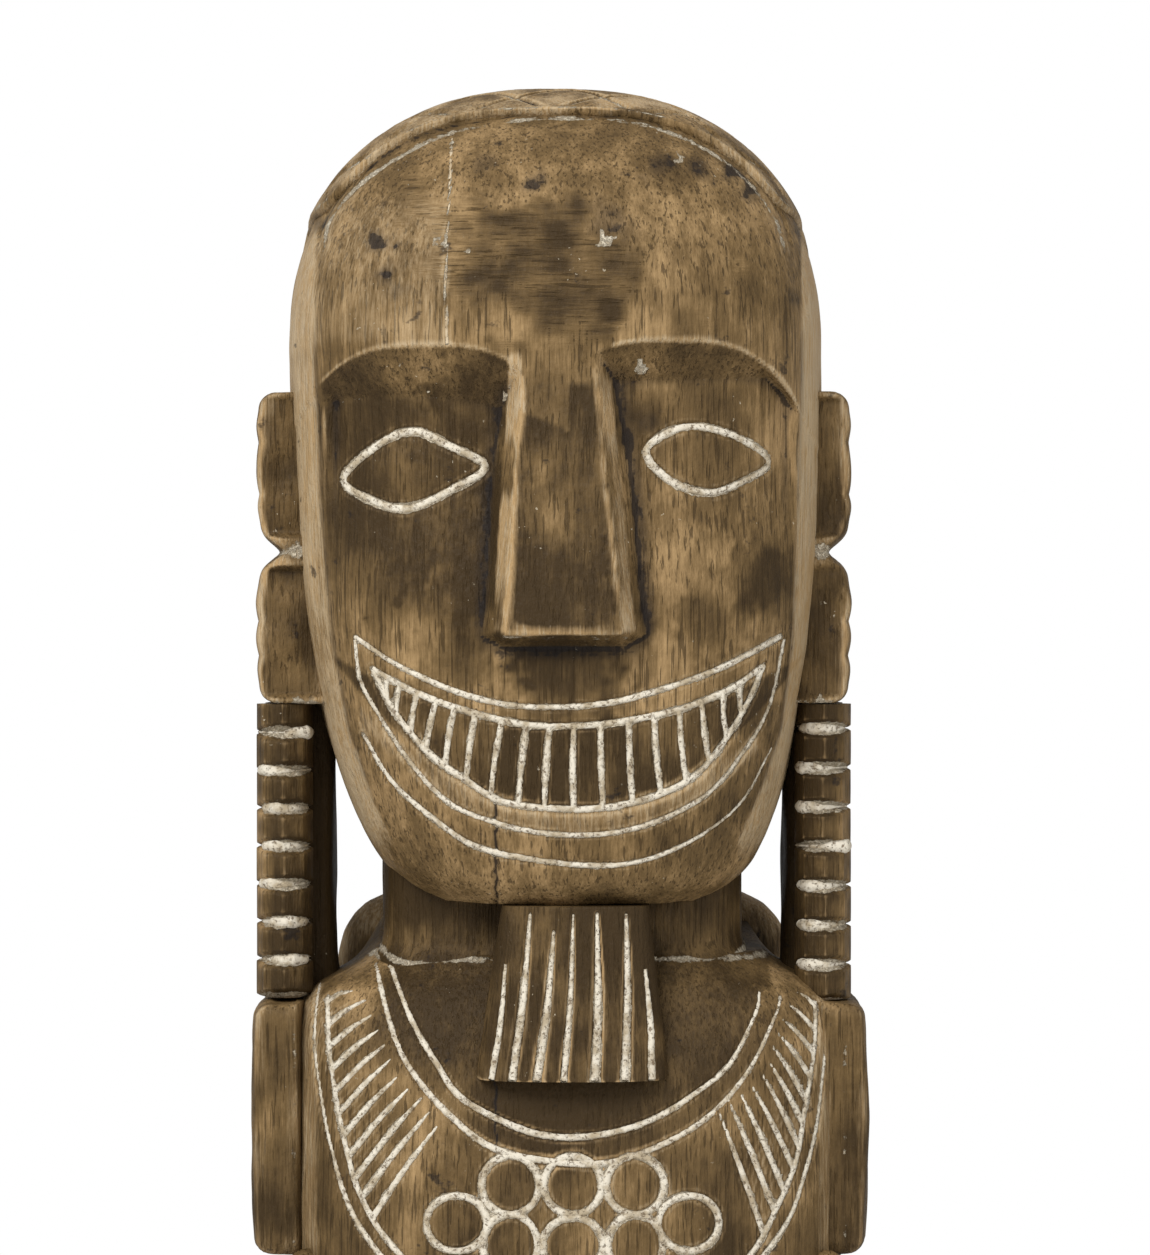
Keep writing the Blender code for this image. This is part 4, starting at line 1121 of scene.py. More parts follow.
        return {
            "right_eye_line": [self.cut(right_eye, 0.0021)],
            "left_eye_line": [self.cut(left_eye, 0.0020)],
            "lip_line": [
                self.cut(lip_top, 0.0019, ends=(0.7, 0.9)), self.cut(lip_foot, 0.0019, ends=(0.7, 0.7))
            ],
            "teeth_lines": [self.cut(upper, 0.0017), self.cut(lower, 0.0018)]
            + [self.cut(path, 0.0014, depth=0.0022, swell=0.15) for path in self.tooth_paths()],
            "chin_line": [self.cut(chin, 0.0018, ends=(0.9, 0.4), swell=0.15)],
            "forehead_check_filler": [self.cut(check, 0.0008, depth=0.0012)],
        }

    def build(self) -> None:
        """Make the head and the lime in its lines."""
        levels = np.concatenate([
            np.linspace(0.6655, 0.6880, 20, endpoint=False),
            np.linspace(0.6880, 0.8920, 195, endpoint=False),
            self.dome_levels[0]
            + np.sin(DOME_LIFT * np.linspace(0.02, 1.0, 56)) * (self.crown - self.dome_levels[0]),
        ])
        skin = self.column.skin(levels, turns(270, 56))
        x, z = skin.points[..., 0], skin.points[..., 2]
        on_front = skin.points[..., 1] < -0.030
        relief = self.face(x, z) - self.column.front(x, z)
        skin.points[..., 1] += np.where(on_front, relief, 0.0)
        skin.chisel(11)
        lines = self.lines()
        cuts = [cut for cuts in lines.values() for cut in cuts]
        skin.carve(
            cuts + [self.cap_seam(0.0000, 0.0024, 0.0014, 0.10), self.cap_seam(0.0032, 0.0024, 0.0002, 0.78)]
        )
        self.crack(skin)
        self.stain_and_shade(skin)
        self.shop.wood("carved_head", skin, ["head"], self.shop.finishes.wood, Slot.WORN)
        for node, cuts in lines.items():
            if node == "forehead_check_filler":
                self.shop.lime("forehead_putty", cuts, [node], 0.9, self.shop.finishes.putty, Slot.PUTTY)
            else:
                self.shop.lime(f"dried_{node}", cuts, [node])

    def cap_seam(self, below: float, half_width: float, depth: float, lime: float) -> Cut:
        """Return a shallow cut along the front of the cap's rim, some way below it."""
        rim = [
            (-0.0975, 0.9330), (-0.0951, 0.9443), (-0.0840, 0.9570), (-0.0646, 0.9708), (-0.0442, 0.9797),
            (-0.0238, 0.9838)
        ]
        rim += [
            (0.0026, 0.9858), (0.0331, 0.9834), (0.0576, 0.9748), (0.0759, 0.9626), (0.0901, 0.9451),
            (0.0940, 0.9330)
        ]
        path = smooth_path([(x * (1.0 - below / 0.11), z - below) for x, z in rim])
        return Cut.on(self.column.front, path, half_width, depth, lime=lime)

    def crack(self, skin: Skin) -> None:
        """Open the hairline drying crack of the chin."""
        x, y, z = np.moveaxis(skin.points, -1, 0)
        off = np.abs(x + 0.0249 + 0.0003 * np.sin(z * 900.0))
        along = ease(z, 0.712, 0.704) * (y < -0.02)
        skin.push(-0.0010 * along * (off < 0.0007))
        skin.add_mask("dirt_and_shade", along * np.clip(1.4 - off / 0.0007, 0.0, 1.0))

    def field_side(self, x: Array, z: Array) -> Array:
        """Return how far points lie inside the sides of the face's field, less than 0 on its rims."""
        heights = (0.690, 0.705, 0.735, 0.770, 0.830, 0.893, 0.930)
        right = np.interp(z, heights, (-0.066, -0.0740, -0.0845, -0.0905, -0.0960, -0.0985, -0.0990))
        left = np.interp(z, heights, (0.072, 0.0790, 0.0900, 0.0945, 0.0970, 0.0985, 0.0990))
        return np.minimum(x - right, left - x)

    def stain_and_shade(self, skin: Skin) -> None:
        """Stain the recesses of the face dark, paint shade on the brow's underside, under the cap's rim and
        in the field's creases, rub its rims light, and place knots and specks.
        """
        x, y, z = np.moveaxis(skin.points, -1, 0)
        front = ease(-y, 0.025, 0.050)
        arch, foot = self.brow(x)
        side = self.field_side(x, z)
        wander = noise(skin.points, 0.020, 17)
        # Painted shadow: the brow's underside is darkened through the stain mask, as if shaded by the brow.
        underside = (
            ease(arch - z, 0.0000, 0.0015) * ease(z - foot, -0.0020, 0.0020) * ease(side, 0.0, 0.004)
            * (np.abs(x - 0.001) > 0.017)
        )
        field_tone = ease(foot - z, -0.001, 0.002) * ease(z, 0.765, 0.790) * ease(side, 0.0, 0.003)
        skin.add_mask(
            "stain_and_shade",
            front
            * (
                (0.55 + 0.5 * wander) * underside
                + (0.60 + 0.50 * wander) * field_tone * (1.0 - 0.55 * ease(x, 0.0, 0.03))
            )
        )
        skin.spot("stain_and_shade", self.dark_places, 19)
        skin.spot("dirt_and_shade", self.knots, 21, 0.35)
        skin.spot("lime", self.specks, 23, 1.0)
        curl = (
            np.exp(-(((x + 0.008) / 0.034) ** 2) - ((z - 0.918) / 0.036) ** 2) + 0.5 * wander
            + 0.25 * noise(skin.points, 0.008, 18)
        )
        skin.masks["curl"] = front * ease(curl, 0.30, 0.62) * ease(z, 0.882, 0.893)
        skin.add_mask(
            "stain_and_shade", skin.masks["curl"] * (0.50 + 0.60 * noise(skin.points, (0.012, 0.012, 0.005), 20))
        )
        nose_and_brow = (
            front * ease(0.022 - np.abs(x - 0.003), 0.0, 0.006) * ease(z, 0.772, 0.776)
            * ease(0.915 - z, 0.0, 0.03)
        )
        skin.add_mask("stain_and_shade", (0.20 + 0.25 * wander) * nose_and_brow)
        # Painted shade: a dark line where the cap's raised rim meets the head.
        skin.add_mask("dirt_and_shade", 0.85 * bell(y + 0.0580, 0.0011) * (z > 0.935))
        down = np.clip((0.880 - z) / 0.104, 0.0, 1.0)
        outside = np.maximum(x - 0.0154 - 0.0104 * down, -0.0142 - 0.0067 * down - x)
        on_nose = front * ease(z, 0.773, 0.776) * ease(0.890 - z, 0.0, 0.010)
        wall = ease(outside, -0.0008, 0.0008) * ease(0.0060 - outside, 0.0, 0.0016) * on_nose
        skin.add_mask("worn", (0.34 + 0.7 * wander) * wall)
        skin.masks["stain_and_shade"] *= 1.0 - 0.5 * wall
        nose_foot = bell(outside - 0.0068, 0.0008) * on_nose
        skin.add_mask(
            "worn",
            0.40 * bell(z - arch, 0.0014) * ease(side, 0.0, 0.004) * (np.abs(x - 0.001) > 0.020) * front
        )
        rim = (
            ease(-side, -0.0015, 0.0015) * ease(z, 0.675, 0.700) * ease(0.955 - z, 0.0, 0.03)
            * ease(-y, 0.006, 0.034)
        )
        rubbed = np.clip(
            0.66 + 0.20 * ease(x, 0.0, 0.05) + 0.45 * noise(skin.points, (0.014, 0.014, 0.045), 24), 0.1, 1.0
        )
        skin.add_mask("worn", rubbed * rim)
        skin.masks["stain_and_shade"] *= 1.0 - 0.9 * rim
        brow_sides = (
            ease(z, 0.885, 0.893) * ease(np.abs(x - 0.004), 0.034, 0.052) * ease(0.965 - z, 0.0, 0.025)
            * front
        )
        skin.masks["stain_and_shade"] -= brow_sides * (0.80 + 0.30 * wander)
        skin.add_mask("worn", (0.10 + 0.16 * ease(-x, 0.043, 0.045)) * brow_sides)
        # Painted shade: a dark line in the crease along the sides of the face's field.
        crease = bell(side, 0.0011) * front * ease(z, 0.700, 0.720) * ease(0.900 - z, 0.0, 0.01)
        skin.add_mask("dirt_and_shade", 0.55 * crease)
        lip = bell(z - 0.6995 - 5.6 * (x - 0.006) ** 2, 0.006) * (np.abs(x) < 0.08)
        skin.add_mask("worn", front * 0.35 * lip)
        teeth = (
            ease(z - 0.7035 - 6.6 * (x - 0.004) ** 2, 0.0, 0.002)
            * ease(0.7395 + 2.9 * (x - 0.004) ** 2 - z, 0.0, 0.002)
        )
        skin.add_mask("stain_and_shade", 0.75 * teeth * front)
        under_nose = bell(z - 0.7722, 0.0014) * (x > -0.030) * (x < 0.036) * front
        foot_line = bell(z - foot, 0.0010) * ease(side, 0.0, 0.004) * (np.abs(x) > 0.024) * front
        skin.add_mask("lime", 0.62 * under_nose + 0.50 * foot_line + 0.45 * nose_foot)


@dataclass
class Cap:
    """The raised skullcap, cut with a leaf lattice. Its rim is upright over the forehead, then drops back."""

    shop: Workshop
    head: Head
    thickness: float = 0.0028
    rim_front: float = -0.0570
    rim_height: float = 0.9460
    columns: int = 360

    def inside(self, points: Array) -> Array:
        """Return how far points lie inside the rim, less than 0 outside."""
        y, z = points[..., 1], points[..., 2]
        drop = np.where(y < 0.0, 0.105 * (y - self.rim_front), 0.105 * -self.rim_front + 0.60 * y)
        return soft_min(y - self.rim_front, z - (self.rim_height - drop), 0.010)

    def build(self) -> None:
        """Make the cap: rings that run from its rim to the crown."""
        around = np.linspace(0.0, math.tau, self.columns, endpoint=False)
        low, high = np.full(self.columns, 0.0), np.full(self.columns, DOME_LIFT)
        for _ in range(34):
            middle = (low + high) / 2
            outside = self.inside(self.ring(middle, around)) < 0.0
            low, high = np.where(outside, middle, low), np.where(outside, high, middle)
        shares = np.concatenate([[0.0, 0.0, 0.004, 0.012], np.linspace(0.02, 1.0, 130)])
        skin = Skin(np.array([self.ring(high + (DOME_LIFT - high) * share, around) for share in shares]))
        grow = np.full(len(shares), self.thickness)
        grow[:4] = (-0.0030, 0.0008, 0.0020, 0.0026)
        skin.push(grow[:, None] * np.ones(self.columns))
        skin.chisel(31, 0.8)
        x, y = skin.points[..., 0], skin.points[..., 1]
        lattice_lines = np.zeros(x.shape)
        for sign in (1.0, -1.0):
            wave = (x + sign * (y + 0.060) * 1.1 + 0.004 * np.sin(y * 70.0)) / 0.036
            off = np.abs(wave - np.round(wave)) * 0.036 * 0.7
            lattice_lines = np.maximum(lattice_lines, np.clip(1.3 - off / 0.0015, 0.0, 1.0))
        inward = np.arange(len(shares))[:, None] * np.ones(self.columns)
        lattice_lines *= ease(inward, 8.0, 12.0)
        skin.push(-0.0014 * lattice_lines)
        edge = bell(inward - 4.0, 2.5)
        skin.masks["lime"] = np.clip(0.85 * lattice_lines + 0.60 * edge, 0.0, 1.0)
        skin.masks["worn"] = np.clip(0.32 + 0.4 * noise(skin.points, 0.010, 33), 0.0, 1.0)
        self.shop.wood("leaf_cut_cap", skin, ["skull_cap"], self.shop.finishes.wood, Slot.DARK)

    def ring(self, lift: Array, around: Array) -> Array:
        """Return the head's points at an angle of lift above the dome's centre, for each direction."""
        z = self.head.dome_centre + (self.head.crown - self.head.dome_centre) * np.sin(lift)
        centre, half_width, front, back = np.moveaxis(self.head.column.at(z), -1, 0)
        depth = np.where(np.sin(around) > 0, back, front)
        n = self.head.column.exponent
        reach = (np.abs(np.cos(around) / half_width) ** n + np.abs(np.sin(around) / depth) ** n) ** (-1.0 / n)
        return np.stack([centre + reach * np.cos(around), reach * np.sin(around), z], axis=-1)


@dataclass
class Ear:
    """An ear: two rounded lobes, one over the other, with scalloped edges and a hollow front."""

    shop: Workshop
    side: str
    reach: float
    inner: float = 0.0930
    top: float = 0.8727
    foot: float = 0.7455
    notch: float = 0.8073
    front: float = 0.0450
    back: float = 0.0300
    corner: float = 0.0065
    scallop_pitch: float = 0.0175
    seam_lime: float = 0.72

    def build(self) -> None:
        """Make the ear."""
        sign = SIGNS[self.side]
        levels = end_levels(self.foot, self.top, 170, (0.0008, 0.0008))
        ends = np.minimum(levels - self.foot, self.top - levels)
        round_end = rounding(ends, self.corner)
        gap = np.abs(levels - self.notch)
        pinch = 0.0085 * np.exp(-((gap / 0.0052) ** 1.6))
        ripple = np.abs(
            np.sin((levels - self.foot) * np.pi / self.scallop_pitch + 0.4 * np.sin(levels * 130.0))
        )
        scallop = 0.0011 * ripple * ease(gap, 0.010, 0.022) * ease(ends, 0.004, 0.016)
        outer = self.reach - round_end - pinch - 0.0011 + scallop
        shrink = 0.4 * round_end
        sections = [
            (z, sign * (o + self.inner) / 2, (o - self.inner) / 2, self.front - s - 0.3 * p, self.back - s)
            for z, o, s, p in zip(levels, outer, shrink, pinch)
        ]
        skin = Column(tuple(sections), exponent=7.0).skin(
            levels, np.linspace(0, math.tau, 150, endpoint=False)
        )
        x, y, z = np.moveaxis(skin.points, -1, 0)
        from_edge = np.minimum(outer[:, None] - np.abs(x), np.minimum(gap[:, None] - 0.004, ends[:, None]))
        hollow = ease(from_edge, 0.0010, 0.0045) * (y < -self.front + 0.006)
        skin.points[..., 1] += 0.0040 * hollow * (0.75 + 0.5 * noise(skin.points, 0.014, 47))
        out_face = np.abs(x) > outer[:, None] - 0.0008
        curl = np.sin((y + 0.008) / 0.038 * np.pi * 2.2) * ease(0.028 - np.abs(y + 0.008), 0.0, 0.008)
        skin.points[..., 0] -= (
            sign * 0.0022 * np.clip(curl, 0.0, 1.0) * out_face * ease(gap[:, None], 0.006, 0.016)
            * ease(ends[:, None], 0.004, 0.014)
        )
        skin.chisel(41 if sign > 0 else 43, 1.4)
        joint = bell(gap[:, None], 0.0035) * np.ones(x.shape)
        foot_seam = bell(levels - self.foot, 0.003)[:, None] * np.ones(x.shape)
        inner_seam = bell(np.abs(x) - 0.107, 0.0022)
        skin.masks["lime"] = np.clip(self.seam_lime * joint + 0.6 * foot_seam + 0.42 * inner_seam, 0.0, 1.0)
        skin.masks["stain_and_shade"] = 0.10 + 0.35 * hollow + 0.45 * noise(skin.points, 0.012, 45)
        skin.add_mask("worn", 0.22 * bell(from_edge, 0.0016) * (y < -0.03))
        self.shop.wood(f"{self.side}_carved_ear", skin, [f"{self.side}_ear"], wear=0.7)


@dataclass
class Pendant:
    """An ear pendant: a stack of eight-sided beads cut from the log, with lime in the notches."""

    shop: Workshop
    side: str
    reach: float
    first_notch: float
    pitch: float
    top: float = 0.7451
    foot: float = 0.6240
    half_width: float = 0.0120
    half_depth: float = 0.0155
    centre_y: float = -0.0290
    notches: int = 7

    def ring_section(self, around: Array) -> Array:
        """Return the radius of a softly eight-sided outline of unit size."""
        part = np.mod(around, math.pi / 4) - math.pi / 8
        return 0.955 * (0.25 + 0.75 * math.cos(math.pi / 8) / np.cos(part)) + 0.03

    def bead(self, height: float, cut: float, seed: int) -> Skin:
        """Return one bead, centred on the origin, which narrows to a V at both ends."""
        around = np.linspace(0.0, math.tau, 72, endpoint=False)
        z = np.linspace(-height / 2, height / 2, 25)
        from_end = (height / 2 - np.abs(z))[:, None]
        opening = 0.0012 + 0.0032 * self.frontness(around)[None, :]
        size = 1.0 - cut * (1.0 - np.clip((from_end + 0.0002) / opening, 0.0, 1.0)) - 0.02
        radius = self.ring_section(around)[None, :] * size
        points = np.stack([
            radius * np.cos(around) * self.half_width,
            radius * np.sin(around) * self.half_depth,
            z[:, None] * np.ones(len(around)),
        ], axis=-1)
        skin = Skin(points)
        skin.chisel(seed, 0.9)
        skin.add_mask("lime", 0.85 * (1.0 - ease(from_end / opening, 0.4, 1.1)))
        outward = SIGNS[self.side] * np.cos(around)[None, :]
        skin.masks["stain_and_shade"] = 1.10 - 0.70 * ease(outward, 0.10, 0.80) + 0.45 * noise(skin.points, 0.007, seed)
        skin.weather(0.35)
        return skin

    def frontness(self, around: Array) -> Array:
        """Return 1 at the rod's front, where the notches open widest, and 0 from its sides on."""
        return np.clip(-np.sin(around), 0.0, 1.0) ** 0.8

    def build(self) -> None:
        """Make the rod, the lime in its notches and the web behind it."""
        sign = SIGNS[self.side]
        x = sign * (self.reach - self.half_width)
        seed = 51 if sign > 0 else 57
        bead = self.bead(self.pitch + 0.0004, 0.34, seed).mesh("bead")
        rod = grown(
            bead, self.shop.stack, Count=self.notches + 1,
            Start=(x, self.centre_y, self.first_notch + self.pitch / 2),
            Pitch=(0.0, 0.0, -self.pitch), Turn=0.05, Uneven=0.02, Seed=seed,
            Material=self.shop.finishes.wood,
        )
        for vertex in rod.vertices:
            vertex.co.z = min(max(vertex.co.z, self.foot), self.top)
        add_piece(
            f"{self.side}_notched_rod", rod, self.shop.finishes.wood,
            [f"{self.side}_ear_pendant"]
        )
        around = np.linspace(0.0, math.tau, 60, endpoint=False)
        swell = np.array([0.60, 0.76, 0.815, 0.835, 0.815, 0.76, 0.60])
        z = np.linspace(-1.0, 1.0, len(swell))[:, None] * (0.0010 + 0.0026 * self.frontness(around))[None, :]
        radius = (
            (swell[:, None] + 0.08 * self.frontness(around)[None, :]) * self.ring_section(around)[None, :]
        )
        dab = Skin(
            np.stack([
                radius * np.cos(around) * self.half_width, radius * np.sin(around) * self.half_depth, z
            ], axis=-1)
        )
        dab.push(0.0004 * noise(dab.points, 0.0022, seed))
        dabs = grown(
            dab.mesh("dab"), self.shop.stack, Count=self.notches, Start=(x, self.centre_y, self.first_notch),
            Pitch=(0.0, 0.0, -self.pitch), Turn=0.9, Uneven=0.04, Seed=seed + 1,
            Material=self.shop.finishes.lime,
        )
        nodes = [f"{self.side}_pendant_lime_{i + 1}" for i in range(self.notches)]
        add_piece(f"{self.side}_notch_lime", dabs, self.shop.finishes.lime, nodes)
        inner, outer = 0.0935, self.reach - 0.0020
        levels = np.linspace(self.foot - 0.004, self.top, 90)
        flare = 0.0035 * np.exp(-((levels - self.foot) / 0.010))
        sections = [
            (z, sign * (inner + outer - f) / 2, (outer - inner + f) / 2, 0.0200, 0.0200)
            for z, f in zip(levels, flare)
        ]
        web = Column(tuple(sections), exponent=5.0, centre_y=0.007).skin(
            levels, np.linspace(0, math.tau, 80, endpoint=False)
        )
        web.chisel(seed + 5, 1.6)
        web.masks["stain_and_shade"] = np.ones(web.points.shape[:2])
        self.shop.wood(
            f"{self.side}_web", web, [f"{self.side}_pendant_web"], self.shop.finishes.dark, Slot.DARK
        )


@dataclass
class Neck:
    """The neck: a faceted column, with lime in the seam round its foot."""

    shop: Workshop
    foot: float = 0.630
    top: float = 0.730
    centre_x: float = 0.0015
    half_width: float = 0.0742
    front: float = 0.0560
    back: float = 0.0660
    flare: float = 0.0040
    seam: float = 0.6450

    def build(self) -> None:
        """Make the neck."""
        levels = np.linspace(self.foot, self.top, 90)
        flare = self.flare * bell(levels - 0.638, 0.007)
        sections = [
            (z, self.centre_x, self.half_width + f, self.front + f, self.back) for z, f in zip(levels, flare)
        ]
        skin = Column(tuple(sections), exponent=4.5).skin(levels, turns(190, 60))
        skin.chisel(61, 1.6)
        x, y, z = np.moveaxis(skin.points, -1, 0)
        seam = self.seam - 0.0055 * ease(-y, 0.035, 0.056)
        skin.masks["lime"] = 0.85 * bell(z - seam, 0.0022) * (y < 0.02)
        skin.masks["stain_and_shade"] = 1.05 + 0.4 * noise(skin.points, 0.012, 63)
        self.shop.wood("faceted_neck", skin, ["neck"])


@dataclass
class Beard:
    """The flat beard under the chin, cut with strokes that widen downward."""

    shop: Workshop
    top: float = 0.6650
    foot: float = 0.5955
    strokes: Rows = (
        (-0.0212, 0.6420, -0.0270, 0.0018),
        (-0.0112, 0.6620, -0.0186, 0.0022),
        (-0.0018, 0.6550, -0.0085, 0.0022),
        (0.0060, 0.6620, 0.0022, 0.0017),
        (0.0155, 0.6620, 0.0148, 0.0025),
        (0.0272, 0.6620, 0.0268, 0.0023),
        (0.0350, 0.6400, 0.0378, 0.0021),
    )

    def front(self, x: Array, z: Array) -> Array:
        """Return y on the beard's front."""
        return -0.0905 - 0.075 * (0.664 - z) + 5.0 * (x - 0.006) ** 2

    def build(self) -> None:
        """Make the beard and the lime in its strokes."""
        levels = np.concatenate([
            [self.foot, self.foot + 0.0003], np.linspace(self.foot + 0.0008, self.top, 88)
        ])
        down = (self.top - levels) / (self.top - self.foot)
        half = 0.0295 + 0.0095 * down - 0.0012 * np.exp(-(levels - self.foot) / 0.0010)
        middle = 0.0068 - 0.0015 * down
        sections = [(z, m, h, 0.020, 0.020) for z, m, h in zip(levels, middle, half)]
        skin = Column(tuple(sections), exponent=7.0, centre_y=-0.072).skin(levels, turns(150, 40))
        x, y, z = np.moveaxis(skin.points, -1, 0)
        on_front = ease(-y, 0.072, 0.088)
        skin.points[..., 1] += on_front * (self.front(x, z) + 0.0920)
        skin.chisel(71)
        cuts = []
        for start_x, start_z, end_x, width in self.strokes:
            path = smooth_path([
                (start_x, start_z), ((start_x + end_x) / 2 + 0.0008, (start_z + self.foot) / 2),
                (end_x, self.foot + 0.0008)
            ])
            cuts.append(Cut.on(self.front, path, width, ends=(0.35, 0.95), swell=0.12))
        skin.carve(cuts)
        skin.masks["stain_and_shade"] = 0.80 + 0.4 * noise(skin.points, 0.012, 73)
        self.shop.wood("ribbed_beard", skin, ["beard"])
        self.shop.lime("beard_strokes_lime", cuts, [f"beard_lime_{i + 1}" for i in range(len(cuts))], 0.86)


@dataclass
class Torso:
    """The torso with its necklace, fringed collar and net of rings."""

    shop: Workshop
    ring_rows: tuple[int, ...] = (3, 5)
    ring_radius: float = 0.0116
    ring_top: float = 0.5535
    ring_pitch: float = 0.0238
    stroke_count: int = 11
    necklace_half_width: float = 0.0021
    edge_half_width: float = 0.0017
    crescent_half_width: float = 0.0016
    stroke_half_width: float = 0.0018
    ring_half_width: float = 0.0019
    sections: Rows = (
        (0.4000, 0.0000, 0.1060, 0.0860, 0.082),
        (0.4400, 0.0010, 0.1100, 0.0930, 0.084),
        (0.5000, 0.0030, 0.1130, 0.0890, 0.088),
        (0.5600, 0.0040, 0.1140, 0.0860, 0.092),
        (0.6000, 0.0040, 0.1140, 0.0810, 0.094),
        (0.6190, 0.0040, 0.1130, 0.0745, 0.093),
        (0.6290, 0.0040, 0.1050, 0.0700, 0.090),
        (0.6370, 0.0040, 0.0890, 0.0650, 0.084),
        (0.6435, 0.0040, 0.0800, 0.0600, 0.078),
    )
    hump_sections: Rows = (
        (0.5800, 0.0020, 0.0700, 0.0180, 0.0250),
        (0.6200, 0.0020, 0.0960, 0.0220, 0.0300),
        (0.6450, 0.0020, 0.0950, 0.0220, 0.0280),
        (0.6580, 0.0020, 0.0860, 0.0190, 0.0220),
        (0.6640, 0.0020, 0.0740, 0.0140, 0.0150),
    )

    def __post_init__(self) -> None:
        """Work out the column of the torso."""
        self.column = Column(self.sections, exponent=3.2)

    def fringe(self, outer: list[Point], inner: list[Point]) -> list[Cut]:
        """Return the strokes between two curves, each wide at its outer end.

        Args:
            outer: Points of the curve on which the strokes stand.
            inner: Points of the curve at which they end.
        """
        from_path, to_path = smooth_path(outer), smooth_path(inner)
        cuts = []
        for i in range(self.stroke_count):
            share = (i + 0.25) / self.stroke_count
            a = from_path[int(share * (len(from_path) - 1))]
            b = to_path[int(share * (len(to_path) - 1))]
            bow = (a + b) / 2 + np.array([0.0, 0.0012])
            path = smooth_path([tuple(a), tuple(bow), tuple(b)])
            cuts.append(
                Cut.on(self.column.front, path, self.stroke_half_width, ends=(0.95, 0.30), swell=0.25)
            )
        return cuts

    def rings(self) -> list[Cut]:
        """Return the rings on the breast."""
        cuts = []
        turn = np.linspace(0.0, math.tau, 90)
        for row, count in enumerate(self.ring_rows):
            for i in range(count):
                offset = i - (count - 1) / 2
                lift = 0.0085 if row == 1 and abs(offset) > 1.5 else 0.0
                centre_x = 0.0058 + 0.0250 * offset * (0.93 if lift else 1.0)
                centre_z = self.ring_top - self.ring_pitch * row + lift
                squash = 1.0 + 0.05 * math.sin(3.1 * i + 1.7 * row)
                path = np.stack([
                    centre_x + self.ring_radius * squash * np.cos(turn),
                    centre_z + self.ring_radius / squash * np.sin(turn)
                ], axis=1)
                cuts.append(Cut.on(self.column.front, even(path), self.ring_half_width))
        return cuts

    def cut(self, points: list[Point], half_width: float, **more: object) -> Cut:
        """Lay a cut on the torso through the points."""
        return Cut.on(self.column.front, smooth_path(points), half_width, **more)

    def lines(self) -> dict[str, list[Cut]]:
        """Return the cuts of the torso by the solid that fills them."""
        inner = [
            (-0.0690, 0.6390), (-0.0670, 0.6360), (-0.0590, 0.6180), (-0.0490, 0.6016), (-0.0394, 0.5885),
            (-0.0213, 0.5785), (-0.0049, 0.5732), (0.0147, 0.5732), (0.0359, 0.5788), (0.0523, 0.5880),
            (0.0687, 0.6010), (0.0799, 0.6213), (0.0815, 0.6290)
        ]
        outer = [
            (-0.0750, 0.6385), (-0.0734, 0.6350), (-0.0654, 0.6100), (-0.0554, 0.5936), (-0.0410, 0.5788),
            (-0.0262, 0.5684), (-0.0049, 0.5632), (0.0195, 0.5624), (0.0443, 0.5708), (0.0619, 0.5820),
            (0.0767, 0.5984), (0.0880, 0.6200), (0.0900, 0.6270)
        ]
        right_edge = [
            (-0.0985, 0.6304), (-0.0995, 0.6090), (-0.0970, 0.5893), (-0.0925, 0.5679), (-0.0860, 0.5466),
            (-0.0760, 0.5300), (-0.0560, 0.5080), (-0.0320, 0.4860), (-0.0080, 0.4650)
        ]
        left_edge = [
            (0.1090, 0.6190), (0.1090, 0.6050), (0.1075, 0.5925), (0.1045, 0.5727), (0.0990, 0.5530),
            (0.0910, 0.5349), (0.0700, 0.5110), (0.0460, 0.4880), (0.0200, 0.4650)
        ]
        right_crescent = [
            (-0.0945, 0.6257), (-0.0930, 0.6039), (-0.0898, 0.5846), (-0.0850, 0.5629), (-0.0800, 0.5484),
            (-0.0710, 0.5335), (-0.0520, 0.5130)
        ]
        right_ends = [
            (-0.0852, 0.6292), (-0.0789, 0.6268), (-0.0745, 0.6176), (-0.0704, 0.6100), (-0.0652, 0.5963),
            (-0.0556, 0.5890), (-0.0508, 0.5806), (-0.0459, 0.5718)
        ]
        left_crescent = [
            (0.1050, 0.6241), (0.1043, 0.6060), (0.1003, 0.5826), (0.0963, 0.5613), (0.0883, 0.5436),
            (0.0790, 0.5271), (0.0640, 0.5120)
        ]
        left_ends = [
            (0.0975, 0.6285), (0.0942, 0.6255), (0.0911, 0.6190), (0.0880, 0.6110), (0.0832, 0.5995),
            (0.0765, 0.5905), (0.0695, 0.5880), (0.0605, 0.5800)
        ]
        return {
            "necklace_inner_line": [
                self.cut(inner, self.necklace_half_width, ends=(0.6, 0.5), swell=0.3, lime=0.8)
            ],
            "necklace_outer_line": [
                self.cut(outer, self.necklace_half_width, ends=(0.6, 0.5), swell=0.3, lime=0.8)
            ],
            "right_collar_edge_line": [self.cut(right_edge, self.edge_half_width, ends=(0.7, 1.0))],
            "left_collar_edge_line": [self.cut(left_edge, self.edge_half_width, ends=(0.7, 1.0))],
            "right_collar_fringe": [self.cut(right_crescent, self.crescent_half_width)]
            + self.fringe(right_crescent[:-1], right_ends),
            "left_collar_fringe": [self.cut(left_crescent, self.crescent_half_width)]
            + self.fringe(left_crescent[:-1], left_ends),
            "breast_rings": self.rings(),
        }

